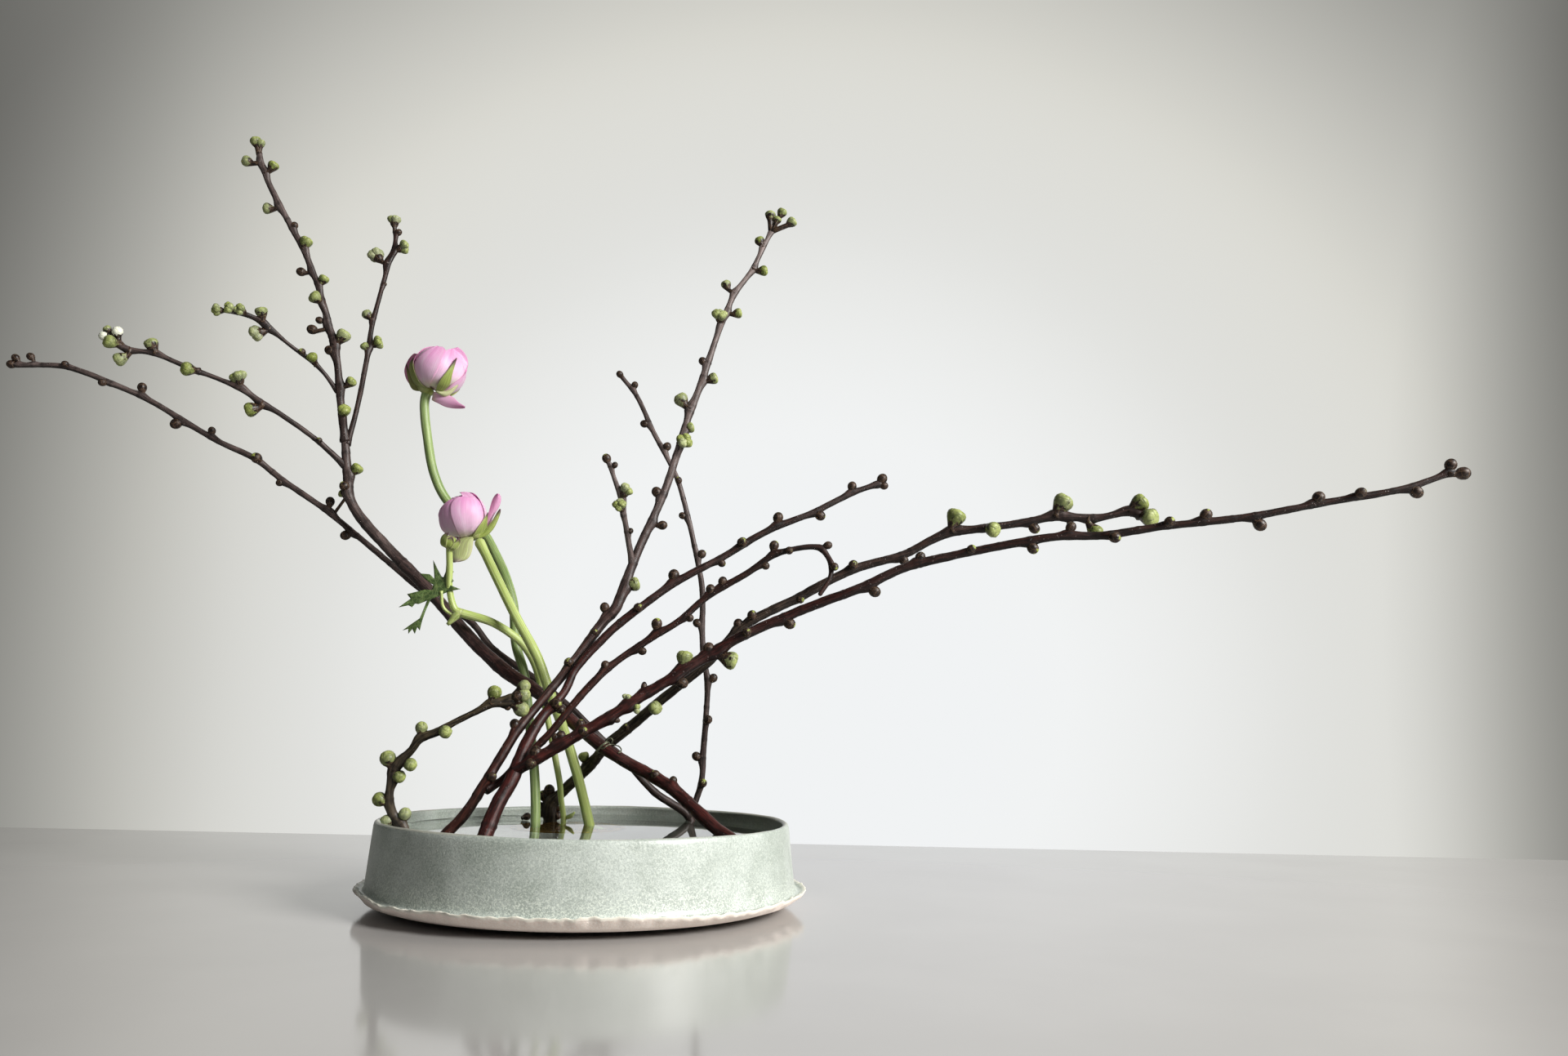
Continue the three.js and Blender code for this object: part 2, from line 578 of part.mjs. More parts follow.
// The red branch: a curving arm above, and below it the longest of all, out to the right.
const redBranch = limb(
  [[-60, -62, 6, 4.1], [-55, -58, 22, 4.1]],
  [
    [-60.5, 30.8, -52, 4.5], [-52.9, 52, -44, 4.3], [-44.4, 69.3, -37, 4.3],
    [-37.5, 88.8, -29, 3.7], [-29.4, 103.7, -21, 3.2], [-17.6, 117.8, -13, 2.6],
    [-12, 130.4, -8, 2.5], [-3.9, 141, -4, 2.6], [10, 156, 1, 2.7], [25.2, 168.8, 5, 2.6],
    [44, 183.1, 10, 2.5], [73.5, 200.1, 17, 2.3], [99.4, 216.2, 22, 2.3], [124.1, 226.8, 27, 2.1],
    [151.4, 241, 33, 2], [166.2, 246.2, 36, 1.9],
  ],
);
const longArm = limb([], [
  [-44.2, 72.3, -36, 2.8], [-35.2, 77.3, -37, 3.4], [-15.3, 89.5, -36, 3.4],
  [5.4, 101.9, -34, 3.5], [28.9, 117.2, -32, 3.2], [61.2, 138.3, -29, 3.3], [78, 149, -29, 3],
  [117.1, 167.7, -30, 2.9], [157.4, 184.1, -33, 2.8], [180.6, 195.4, -35, 2.8],
  [217.2, 205.2, -39, 2.6], [272.1, 216.2, -45, 2.5], [298, 217.4, -48, 2.5],
  [333, 223.4, -52, 2.3], [382, 229.9, -58, 2.2], [438.1, 241.3, -64, 2.1],
  [480.1, 249.7, -69, 2], [511, 260.7, -72, 1.6],
]);
const RED_BUDS = [
  [-21, 111, 3.2], [-19, 108, 2.4], [24, 168, 2.9], [44, 188, 3.4], [72, 196, 2.4],
  [84, 208, 3.2], [105, 224, 3.2], [130, 226, 3.2], [149, 244, 2.9], [167, 249, 3.2],
  [168, 245, 2.6],
];
const LONG_BUDS = [
  [-32, 83, 3.4], [-34, 77, 3.4], [-18, 93, 2.7], [-21, 92, 2.2], [-7, 100, 2.4],
  [-5, 96, 2.7], [13, 103, 2.7], [19, 115, 2.4], [24, 110, 2.9], [29, 122, 2.9],
  [52, 139, 4.4], [66, 145, 3.4], [78, 139, 4.8], [51, 125, 3.2], [88, 155, 2.9],
  [113, 161, 3.2], [163, 181, 3.2], [190, 202, 2.9], [220, 207, 3.4], [257, 209, 3.2],
  [280, 222, 2.9], [305, 216, 3.2], [338, 226, 2.9], [361, 231, 3.4], [393, 226, 3.4],
  [429, 243, 3.4], [453, 246, 2.9], [488, 248, 3.4], [510, 265, 3.2], [517, 260, 3.6],
];

// The dark branch that leans on the left branch, tied to it, and runs out above the long arm.
const darkBranch = limb(
  [[-45, 69, 12, 4.3]],
  [
    [-22.2, 44.9, 60, 3.8], [-21.6, 53.7, 59, 3.6], [-16.4, 60.4, 57, 3.4], [-0.5, 76.4, 43, 3.6],
    [9.3, 88.7, 33, 3.5], [20.3, 97.7, 27, 3.4], [36.1, 111.9, 19, 3.1], [52.2, 125.6, 9, 3],
    [66.2, 137.7, 3, 3], [86.8, 159.4, -1, 2.9], [117.1, 175.8, -2, 2.9], [149.8, 193.7, -2, 2.8],
    [179.9, 203.3, -3, 2.6], [203.7, 215.4, -4, 2.6], [246.1, 223.3, -6, 2.5],
    [271.2, 227.8, -7, 2.4], [298.1, 228.6, -9, 2.2], [314.1, 231.5, -10, 2.3],
    [325, 228.7, -11, 1.8],
  ],
);
const DARK_BUDS = [
  [-23, 62, 3.4], [-26, 59, 3.2], [-4, 81, 3.2], [36, 110, 3.9], [20, 99, 2.4],
  [83, 160, 2.9], [91, 165, 2.9], [119, 175, 2.4], [150, 196, 2.9], [180, 200, 2.9],
  [211, 226, 5.3], [232, 219, 4.4], [258, 221, 3.4], [275, 236, 5.6], [280, 223, 2.4],
  [294, 220, 4.4], [321, 237, 5.1], [325, 228, 5.1],
];

// The short twig in front that arches in from the left of the bowl.
const archedTwig = limb(
  [[-90, -30, 6, 2.5], [-92, -29, 22, 2.5]],
  [
    [-102.8, 35.1, -28, 2.5], [-107.8, 42, -27, 2.3], [-111.7, 47.1, -28, 2.4],
    [-114.6, 61, -32, 2.2], [-110.7, 75.9, -35, 2.3], [-104, 83, -37, 2.3], [-99.6, 89, -38, 2.2],
    [-90.8, 93.6, -38, 2.2], [-70.4, 104.7, -35, 1.9], [-56.8, 111.1, -32, 2.2],
    [-45.7, 113.3, -28, 2],
  ],
);
const ARCHED_BUDS = [
  [-41, 121, 3.6], [-41, 116, 3.9], [-42, 108, 4.4], [-58, 117, 3.9], [-84, 94, 3.6],
  [-99, 96, 3.4], [-117, 78, 4.4], [-104, 75, 3.6], [-110, 68, 3.6], [-120, 55, 3.9],
  [-105, 47, 3.6],
];

// ---- Flowers ---------------------------------------------------------------------------------

const upperStem = limb(
  [[-38, 40, 12, 3]],
  [
    [-30, 44, 42, 3], [-32, 71, 46, 3], [-37, 103, 50, 2.9], [-41, 128, 52, 2.9],
    [-47, 145, 53, 3], [-50, 169, 55, 3], [-55, 184, 58, 3], [-62, 198, 64, 3],
    [-71, 212, 67.5, 3], [-93, 230, 66.5, 3], [-102, 246, 63.5, 3], [-108, 270, 60, 3],
    [-111, 290, 60, 3], [-110, 297, 60, 3.3],
  ],
);
const lowerStem = limb(
  [[2, 41, 12, 3.1]],
  [
    [1, 43, 39, 3.1], [-8, 73, 34, 3.1], [-18, 100, 26, 3.1], [-27, 121, 22.5, 3.1],
    [-34, 138, 23, 3], [-46, 158, 27, 3], [-61, 185, 35, 2.9], [-68, 198, 41, 2.9],
    [-72, 205, 44, 3.3],
  ],
);
const sideStem = limb(
  [[-27, 54, 12, 1.6]],
  [
    [-14, 45, 52, 1.7], [-16, 57, 49, 1.8], [-17.2, 66, 48, 1.9], [-20, 78, 50, 2],
    [-26, 102, 52, 2],
    [-35, 133, 48, 2.3], [-41, 143, 45, 2.4], [-47, 149, 42, 2.5], [-62, 158, 37, 2.5],
    [-80, 163, 34, 2.8],
  ],
);
const budStem = limb([], [
  [-80, 163, 34, 2.6], [-84, 165, 33, 2.2], [-88, 176, 31, 2], [-89, 190, 28, 2], [-90, 202, 24, 2],
]);
const sheath = limb([], [[-88, 156, 34, 1], [-82, 163, 34, 3.2]]);
const leafStalk = limb([], [
  [-93, 176, 29, 1], [-91, 166, 32, 1], [-84, 161, 34, 1.1],
], TWIG_SIDES);
const waterSprig = limb([], [[-13, 47, 53, 0.9], [-10, 48, 50, 1.4], [-8, 50, 49, 0.6]], TWIG_SIDES);

const LEAF = [
  [-96, 172], [-101.4, 169.7], [-106, 167.8], [-108, 168.1], [-109.6, 165.9], [-111.8, 167],
  [-117.3, 165.7], [-110.7, 170.9], [-113, 173.6], [-107.3, 175.2], [-102.6, 176.4],
  [-98.5, 176.2], [-98, 179.4], [-102.3, 182], [-106.3, 186], [-100.6, 185.7], [-97.5, 183],
  [-98, 187], [-99, 194], [-96, 188.7], [-93.3, 184.4], [-92.2, 184], [-91.1, 187.4],
  [-91.2, 197], [-88.3, 189.9], [-86.4, 187.5], [-88, 184.5], [-86, 182.1], [-88.6, 179.6],
  [-81.7, 177.2], [-88.3, 175.8], [-92.1, 174],
];
const HANGING_LEAFLET = [
  [-100.5, 171.5], [-102, 167], [-104.5, 159.5], [-110.5, 155], [-114.1, 152.1],
  [-110.8, 153.1], [-110.6, 150.2], [-108.4, 153.1], [-106.8, 150.3], [-105.6, 154.2],
  [-104, 152.3], [-103, 158.1], [-101.5, 163.5], [-98.8, 171],
];

const upperBloom = new Bloom({ middle: [-103.5, 310.5, 60], radius: 16, height: 14.2, lean: 33 });
const lowerBloom = new Bloom({ middle: [-83, 221, 46], radius: 13.6, height: 14, lean: -38 });

// Petals lie in two layers, so that neighbours pass clear over each other.
const OVER = -0.4;
const UNDER = -1.8;
const UPPER_PETALS = [
  { azimuth: -32, spread: 52, from: 24, to: 158, lift: OVER, flare: 0.4 },
  { azimuth: 44, spread: 50, from: 24, to: 150, lift: UNDER, flare: 2.8 },
  { azimuth: 112, spread: 48, from: 26, to: 146, lift: OVER, flare: 1.4 },
  { azimuth: 180, spread: 42, from: 24, to: 152, lift: UNDER, flare: 0.8 },
  { azimuth: -104, spread: 30, from: 26, to: 140, lift: UNDER, flare: 1.2 },
];
const UPPER_SEPALS = [
  { azimuth: 20, spread: 17, from: 10, to: 130, lift: 1.1, blunt: 0.08 },
  { azimuth: -84, spread: 34, from: 10, to: 92, lift: 1.1, flare: 3.6, blunt: 0.12 },
  { azimuth: 104, spread: 18, from: 10, to: 112, lift: 1.1, flare: 0.6, blunt: 0.1 },
  { azimuth: 152, spread: 22, from: 10, to: 108, lift: 1.1, flare: 1.4, blunt: 0.1 },
  { azimuth: -150, spread: 22, from: 10, to: 108, lift: 1.1, flare: 1, blunt: 0.1 },
];
const UPPER_HANGING_PETAL = [
  [-103, 303], [-104.5, 297], [-106.6, 292.5], [-100, 289.5], [-95, 287.2], [-86.5, 287.6],
  [-91, 291], [-94, 298], [-95, 305],
];

const LOWER_PETALS = [
  { azimuth: 0, spread: 50, from: 26, to: 150, lift: OVER, flare: 0.4 },
  { azimuth: 66, spread: 46, from: 26, to: 152, lift: UNDER, flare: 1.4 },
  { azimuth: 134, spread: 48, from: 26, to: 146, lift: OVER, flare: 1.2 },
  { azimuth: -142, spread: 36, from: 26, to: 148, lift: UNDER, flare: 0.8 },
  { azimuth: -70, spread: 32, from: 26, to: 136, lift: UNDER, flare: 1.4 },
];
const LOWER_UPRIGHT_PETAL = [
  [-73, 208], [-76, 214], [-69.5, 220], [-68.4, 228], [-66, 234], [-63, 235], [-61.6, 232],
  [-62.5, 226], [-66, 219], [-69, 212],
];
const LOWER_SEPALS = [
  { azimuth: 52, spread: 20, from: 10, to: 74, lift: 1.1, blunt: 0.1 },
  { azimuth: 165, spread: 22, from: 10, to: 96, lift: 1.1, blunt: 0.1 },
];
const LOWER_RIGHT_SEPAL = [
  [-73, 207.5], [-71, 211.5], [-66.6, 214], [-64, 219], [-61.3, 225.6], [-62.6, 216], [-65.5, 211],
];
const LOWER_HANGING_SEPAL = [
  [-73, 209], [-77, 207], [-81, 204], [-84, 204.5], [-88.5, 204], [-89.5, 199], [-87.4, 192.6],
  [-83, 194.4], [-78, 195], [-74.6, 198], [-73.4, 203],
];

// The sepals, or the room that they take up in the petals when grown by a gap.
function upperCalyx(extra = 0) {
  const root = egg(upperBloom.place(0, 0, 0), 6 + extra, 3.4 + extra, 8, upperBloom.axis);
  const petals = UPPER_SEPALS.map((sepal) => upperBloom.petal(sepal, extra));
  return joined([root, ...petals]);
}

function lowerCalyx(extra = 0) {
  const root = egg(lowerBloom.place(0, 0, 0), 5.4 + extra, 3.2 + extra, 8, lowerBloom.axis);
  const sepals = LOWER_SEPALS.map((sepal) => lowerBloom.petal(sepal, extra));
  const thickness = BLADE + 2 * extra;
  sepals.push(sheet(LOWER_RIGHT_SEPAL, 46, 0.15, thickness));
  sepals.push(sheet(LOWER_HANGING_SEPAL, 43, -0.1, thickness));
  return joined([root, ...sepals]);
}

function bloomSolid(bloom, petals, loose, calyx, stem) {
  const layers = petals.map((petal) => bloom.petal({ ...petal, sunk: 2.8 }));
  const whole = joined([bloom.heart(2.4), ...layers, ...loose]);
  return mainBody(whole.subtract(calyx(GAP)).subtract(stem.solid(GAP)));
}

// ---- Wire tie --------------------------------------------------------------------------------

// The places where limbs with `room` to spare cross a plane through `middle`.
function outlineAcross(limbs, middle, normal, room) {
  const found = [];
  for (const limbHere of limbs) {
    for (let i = 0; i <= 2000; i += 1) {
      const place = limbHere.curve.getPoint(i / 2000);
      if (place.distanceTo(middle) > 30) continue;
      const heading = limbHere.curve.getTangent(i / 2000);
      const side = new THREE.Vector3().crossVectors(heading, normal).normalize();
      const up = new THREE.Vector3().crossVectors(side, heading);
      const radius = limbHere.radiusAt(i / 2000) + room;
      for (let corner = 0; corner < 24; corner += 1) {
        const turn = (corner / 24) * 2 * Math.PI;
        const spot = place.clone().addScaledVector(side, radius * Math.cos(turn));
        spot.addScaledVector(up, radius * Math.sin(turn));
        if (Math.abs(spot.clone().sub(middle).dot(normal)) < 0.35) found.push(spot);
      }
    }
  }
  return found;
}

// A loop of wire drawn tight round two limbs where a plane cuts them.
function wireLoop(limbs, middle, normal) {
  const spots = outlineAcross(limbs, middle, normal, WIRE_RADIUS + GAP);
  const across = new THREE.Vector3().crossVectors(normal, TOWARDS_SEAT).normalize();
  const points = [];
  const pull = (turn) => {
    const way = across.clone().multiplyScalar(Math.cos(turn)).addScaledVector(TOWARDS_SEAT, Math.sin(turn));
    return Math.max(...spots.map((spot) => spot.clone().sub(middle).dot(way)));
  };
  const count = 24;
  for (let i = 0; i < count; i += 1) {
    const [turn, next] = [i, i + 1].map((step) => (step / count) * 2 * Math.PI);
    const [near, far] = [pull(turn), pull(next)];
    const sine = Math.sin(next - turn);
    const along = (near * Math.sin(next) - far * Math.sin(turn)) / sine;
    const ahead = (far * Math.cos(turn) - near * Math.cos(next)) / sine;
    points.push(middle.clone().addScaledVector(across, along).addScaledVector(TOWARDS_SEAT, ahead));
  }
  const path = new THREE.CatmullRomCurve3(points, true);
  return solidOf(new THREE.TubeGeometry(path, 24, WIRE_RADIUS, 5, true));
}

// Two loops lashed crosswise over the crossing of two branches.
function wireTie(limbs) {
  const loops = [
    wireLoop(limbs, TIE, new THREE.Vector3(0.97, 0, -0.25).normalize()),
    wireLoop(limbs, TIE, new THREE.Vector3(-0.18, 0, -0.98).normalize()),
  ];
  return joined(loops);
}

// ---- The pieces ------------------------------------------------------------------------------

const onHolder = [darkBranch, upperStem, lowerStem, sideStem];
const onFloor = [leftBranch, backBranch, greyUpright, redBranch, archedTwig];
const floorTop = FLOOR + GAP;
const holderTop = HOLDER_TOP + GAP;

addPiece("bowl", bowl(), "celadon");
addPiece("pin_holder", pinHolder(onHolder), "brass");
addPiece("water", water([...onHolder, ...onFloor]), "water");

const leftParts = [
  leftBranch.budding(LEFT_BUDS),
  leftTall.budding(LEFT_TALL_BUDS),
  leftInner.budding(LEFT_INNER_BUDS),
  leftLow.budding(LEFT_LOW_BUDS),
  leftShort.budding(LEFT_SHORT_BUDS),
];
addPiece("branch_left", standingOn(floorTop, joined(leftParts)), "redBark");

const backParts = [backBranch.budding(BACK_BUDS), uprightTwig.budding(UPRIGHT_BUDS)];
addPiece("branch_back", standingOn(floorTop, joined(backParts)), "brownBark");

const greyParts = [
  greyUpright.budding(GREY_BUDS),
  greyTwig.budding(GREY_TWIG_BUDS),
  hookedArm.budding(HOOKED_BUDS),
];
addPiece("branch_forked", standingOn(floorTop, joined(greyParts)), "greyBark");

const redParts = [redBranch.budding(RED_BUDS), longArm.budding(LONG_BUDS)];
addPiece("branch_long", standingOn(floorTop, joined(redParts)), "redBark");

addPiece("branch_dark", standingOn(holderTop, darkBranch.budding(DARK_BUDS)), "brownBark");
addPiece("twig_arched", standingOn(floorTop, archedTwig.budding(ARCHED_BUDS)), "greyBark");
addPiece("wire_tie", wireTie([leftBranch, darkBranch]), "wire");

const upperGreen = joined([upperStem.solid(), upperCalyx()]);
addPiece("flower_stem_upper", standingOn(holderTop, upperGreen), "stem");
const lowerGreen = joined([lowerStem.solid(), lowerCalyx()]);
addPiece("flower_stem_lower", standingOn(holderTop, lowerGreen), "stem");

const leafyParts = [
  sideStem.solid(),
  budStem.solid(),
  sheath.solid(),
  leafStalk.solid(),
  waterSprig.solid(),
  egg(seen([-90.3, 205.2, 22, 0]).at, 4.3, 4.3, 8),
  sheet(LEAF, 29, 0.05),
  sheet(HANGING_LEAFLET, 29, -0.1),
];
addPiece("leafy_stem", standingOn(holderTop, joined(leafyParts)), "stem");

const upperLoose = [sheet(UPPER_HANGING_PETAL, 54, 0.1)];
const upperPink = bloomSolid(upperBloom, UPPER_PETALS, upperLoose, upperCalyx, upperStem);
addPiece("bloom_upper", upperPink, "petal");
const lowerLoose = [sheet(LOWER_UPRIGHT_PETAL, 48, 0)];
const lowerPink = bloomSolid(lowerBloom, LOWER_PETALS, lowerLoose, lowerCalyx, lowerStem);
addPiece("bloom_lower", lowerPink, "petal");

const dryBud = egg(new THREE.Vector3(-48, 60, WATER_LEVEL + GAP + 2), 3.6, 2, 7);
addPiece("fallen_bud", dryBud, "dryBud");

export default group;
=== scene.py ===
"""Ikebana: budding branches and two ranunculus standing in a low round bowl of water."""

import math
import random

import bmesh
import bpy
import numpy as np
from mathutils import Matrix, Vector, noise


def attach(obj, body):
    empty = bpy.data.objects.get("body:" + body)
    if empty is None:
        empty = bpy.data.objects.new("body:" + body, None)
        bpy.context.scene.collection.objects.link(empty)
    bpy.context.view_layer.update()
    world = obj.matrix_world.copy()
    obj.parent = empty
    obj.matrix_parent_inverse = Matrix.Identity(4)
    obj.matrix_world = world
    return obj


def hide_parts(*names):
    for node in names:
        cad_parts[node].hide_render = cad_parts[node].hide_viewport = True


bl_info = {
    "name": "Ikebana Arrangement",
    "version": (1, 0, 0),
    "blender": (4, 5, 0),
    "location": "View3D > Sidebar > Ikebana",
    "description": "Budding branches and two ranunculus in a low celadon bowl",
    "category": "Add Mesh",
}

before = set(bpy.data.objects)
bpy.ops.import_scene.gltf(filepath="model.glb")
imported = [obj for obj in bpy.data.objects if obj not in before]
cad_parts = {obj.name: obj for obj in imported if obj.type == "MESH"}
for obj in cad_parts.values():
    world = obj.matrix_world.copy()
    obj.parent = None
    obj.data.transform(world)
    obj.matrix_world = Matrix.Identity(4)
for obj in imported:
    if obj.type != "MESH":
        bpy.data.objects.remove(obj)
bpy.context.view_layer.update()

# Shapes are drawn in millimetres and scaled to metres when a piece is finished.
MM = 0.001
# Pieces that rest on each other keep this much room between them.
GAP = 0.3

# The arrangement is composed for one seat in front of the table. Places are given as seen from
# it, across and up on the upright plane through the bowl's middle, with a depth behind (+) or
# before (-) that plane.
SEAT = Vector((108.7, -693.3, 102.5))
TOWARDS_SEAT = Vector((0, -1, 0))
# Where the main light falls from: bark is lighter on the side towards it and painted darker, as
# painted shade, on the side turned away.
PAINTED_LIGHT_WAY = Vector((-0.1, -0.55, 0.83)).normalized()

# ---- Bowl, water and pin holder: sizes -------------------------------------------------------

FOOT_RADIUS = 88
FOOT_HEIGHT = 1.6
FLANGE_RADIUS = 124.5
FLANGE_TIP = 10.4
WALL_BASE_RADIUS = 119
WALL_BASE = 11.5
RIM_RADIUS = 115
RIM_HEIGHT = 46.4
RIM_THICKNESS = 3.6
WALL_THICKNESS = 4.6
FLOOR = 8
FLOOR_CORNER = 10
WATER_LEVEL = 40
HOLDER_MIDDLE = Vector((-20, 51, 0))
HOLDER_RADIUS = 35
HOLDER_BOTTOM = FLOOR + GAP
HOLDER_TOP = HOLDER_BOTTOM + 8
PIN_HEIGHT = 9
PIN_ROOT_RADIUS = 0.55
PIN_TIP_RADIUS = 0.06
# Steps round the axis of the bowl, the water and the pin holder.
BOWL_STEPS = 480
WATER_STEPS = 128
HOLDER_STEPS = 72

# ---- Branches --------------------------------------------------------------------------------
# Stations are (across, up, depth, radius) from the foot to the tip, and feet are real places
# (x, y, z, radius). Buds are (across, up, size, kind): g cupped and green, r round and green,
# b brown and closed, o opening in green lobes, w a white flower bud, s a dark spur. A bud without
# a kind has the usual one of its limb.

LEFT_BRANCH = [
    (85, 34, -17, 4.2), (74.5, 42, -10, 4.1), (62, 52.3, -2, 4), (49, 63.6, 6, 4),
    (35.6, 71.5, 14, 3.9), (22, 78.2, 20, 3.9), (8.5, 85.9, 24.7, 3.9), (-12.3, 102, 32, 4.3),
    (-30.1, 115.9, 36, 4.6), (-51.6, 129.2, 41, 4.7), (-70.3, 144.7, 45, 4.2),
    (-101.1, 176.8, 49, 4.1), (-130.5, 204.7, 52, 3.7), (-149.8, 227.1, 52, 3.4),
    (-154.1, 246, 51, 3.2), (-157.1, 265, 50, 2.7),
]
LEFT_TALL = [
    (-157, 265, 50, 2.9), (-162, 290, 48, 2.6), (-166, 314, 46, 2.5), (-171, 332, 45, 2.4),
    (-181.1, 360.9, 43, 2), (-193.1, 386.9, 40, 2.1), (-202.7, 402.6, 38, 2.1),
    (-221, 435, 34, 1.9), (-227.2, 451.9, 32, 1.6),
]
LEFT_INNER = [
    (-155.9, 263, 50, 2.1), (-152.4, 280.9, 56, 1.8), (-148.1, 317, 69, 1.8),
    (-146.6, 337.9, 76, 1.7), (-140.1, 374.7, 88, 1.7), (-136.6, 392.9, 93, 1.5),
    (-137.6, 401.9, 95, 1.5),
]
LEFT_LOW = [
    (-154.9, 249.1, 51, 2.2), (-173.8, 265.2, 42, 1.8), (-207, 287, 28, 1.7),
    (-228.2, 298.6, 20, 1.6), (-259.2, 310.5, 10, 1.6), (-276.4, 316.9, 5, 1.5),
    (-297.2, 321.5, 0, 1.4), (-303.2, 325.5, -2, 1.2),
]
LEFT_SHORT = [
    (-164.1, 295.9, 48, 1.6), (-176.5, 310.5, 42, 1.4), (-198.9, 327.1, 30, 1.3),
    (-209.1, 335.9, 25, 1.4), (-221, 342, 20, 1.2), (-238, 346, 14, 1.1),
]
LEFT_BUDS = [
    (-149, 248, 3.6), (-154, 237, 3.2, "b"), (-156, 233, 2.4), (38, 72, 2.9, "b"),
    (48, 69, 2.4, "b"),
]
LEFT_TALL_BUDS = [
    (-229, 457, 3.4), (-226, 456, 2.7), (-233, 444, 3.4), (-217, 441, 3.4), (-217, 413, 3.4),
    (-192, 391, 3.9), (-200, 402, 2.4, "b"), (-193, 372, 2.9, "b"), (-179, 367, 3.2),
    (-181, 354, 3.9), (-183, 335, 3.2, "b"), (-179, 341, 2.4, "b"), (-164, 331, 4.4),
    (-171, 322, 3.2, "b"), (-157, 302, 3.4), (-158, 283, 3.9),
]
LEFT_INNER_BUDS = [
    (-138, 406, 4.4, "o"), (-135, 399, 2.4, "b"), (-132, 389, 4.4, "o"), (-147, 383, 5.2, "o"),
    (-141, 365, 1.5, "b"), (-150, 345, 3.2), (-143, 327, 3.9, "o"), (-149, 324, 2.7),
]
LEFT_LOW_BUDS = [
    (-302, 331, 3.2, "w"), (-310, 328, 2.9, "w"), (-303, 323, 3.9), (-298, 314, 3.9),
    (-308, 332, 2.4), (-280, 323, 3.9), (-254, 307, 4.1), (-225, 303, 4.6, "o"), (-215, 284, 4.4),
    (-172, 265, 1.9, "b"),
]
LEFT_SHORT_BUDS = [
    (-240, 345, 3.4, "o"), (-233, 346, 3.6, "o"), (-226, 345, 3.6, "o"), (-215, 345, 3.6),
    (-216, 332, 4.8, "o"), (-187, 320, 2.2, "b"), (-180, 316, 3.2),
]

BACK_BRANCH = [
    (58.2, 48.2, 88, 2.9), (37, 62.8, 76, 2.6), (20, 80, 68, 2.5), (7, 90.5, 62, 2.4),
    (-11.9, 108.1, 61, 2.4), (-32.9, 124.1, 62, 2.4), (-60.9, 143.1, 64, 2.2),
    (-74.7, 158.3, 65, 2.2), (-104, 176, 66, 2.2), (-127.8, 194.3, 64, 2.1),
    (-144.6, 207.3, 62, 2), (-167.4, 224.4, 58, 2), (-191.3, 239.6, 54, 2.1),
    (-210.5, 253.3, 50, 2.1), (-234.2, 263.9, 46, 2), (-279.2, 288.8, 38, 1.9),
    (-301.4, 298, 34, 2), (-331.2, 308.1, 28, 1.9), (-361.2, 308.4, 22, 1.6),
]
UPRIGHT_TWIG = [
    (57.8, 49, 88, 2.4), (61.5, 58.5, 86, 2.2), (64.3, 70, 85, 2.1), (64.8, 85, 84, 2.1),
    (65.8, 124, 81, 2), (62.5, 146, 80, 2), (61, 181, 79, 2), (58, 196, 79, 1.9),
    (49.9, 228, 80, 1.9), (43.2, 248.1, 82, 1.8), (29.5, 273.2, 85, 1.8), (17.7, 296.8, 88, 1.7),
    (8, 309, 90, 1.6),
]
BACK_BUDS = [
    (-364, 309, 2.7), (-362, 313, 2.4), (-353, 314, 2.4), (-330, 309, 2.2), (-306, 298, 2.4),
    (-283, 296, 2.9), (-260, 274, 3.4), (-238, 270, 2.4), (-208, 253, 3.4), (-194, 239, 2.4),
    (-163, 228, 2.9), (-154, 233, 2.4), (-152, 208, 3.2),
]
UPRIGHT_BUDS = [
    (7, 310, 2.4), (16, 304, 2.4), (23, 280, 2.7), (37, 266, 2.9), (45, 245, 2.4),
    (48, 224, 2.4), (60, 201, 2.9), (59, 160, 2.9), (66, 146, 2.4), (69, 128, 2.9),
    (67, 104, 2.9), (61, 83, 2.9), (65, 68, 2.9),
]

GREY_UPRIGHT = [
    (-83.3, 33.2, -38, 3.3), (-71.5, 46.6, -35, 3.1), (-61.5, 63, -33, 3.1),
    (-42.9, 96, -21, 2.9), (-31.1, 111.8, -12, 2.8), (-14.5, 133.6, -2, 3), (3.1, 158.9, 9, 3.2),
    (10.1, 167, 12, 3.5), (15.3, 182.6, 17, 3.3), (23, 204.2, 23, 3), (37, 239.6, 32, 2.7),
    (47.7, 278.8, 40, 2.5), (58.7, 314.1, 48, 2.4), (65.6, 337.8, 53, 2.2), (74.8, 362.6, 58, 2),
    (85.2, 378.9, 62, 1.8), (97.8, 407.1, 68, 1.6),
]
GREY_TWIG = [
    (19.2, 194, 20, 1.9), (15.2, 213, 12, 1.9), (10.3, 234.1, 3, 1.6), (2.6, 255.2, -5, 1.4),
]
HOOKED_ARM = [
    (-59.8, 61.7, -33, 2.5), (-51.6, 66.6, -27, 2.4), (-42.6, 75.6, -21, 2.3),
    (-25.8, 92.9, -15, 2.3), (-9.2, 114.3, -10, 2.5), (6.9, 132, -7, 2.3), (34.2, 152.2, -5, 2.2),
    (45.3, 159, -4, 2.1), (64.6, 175.9, -3, 2.1), (89.3, 191.6, -4, 2.1), (99.8, 199.5, -5, 2),
    (108.4, 203.6, -6, 1.9), (128.8, 206.4, -9, 1.8), (135.8, 199.9, -11, 1.7),
    (136.9, 189.5, -13, 1.6), (130.9, 178.8, -15, 1.4),
]
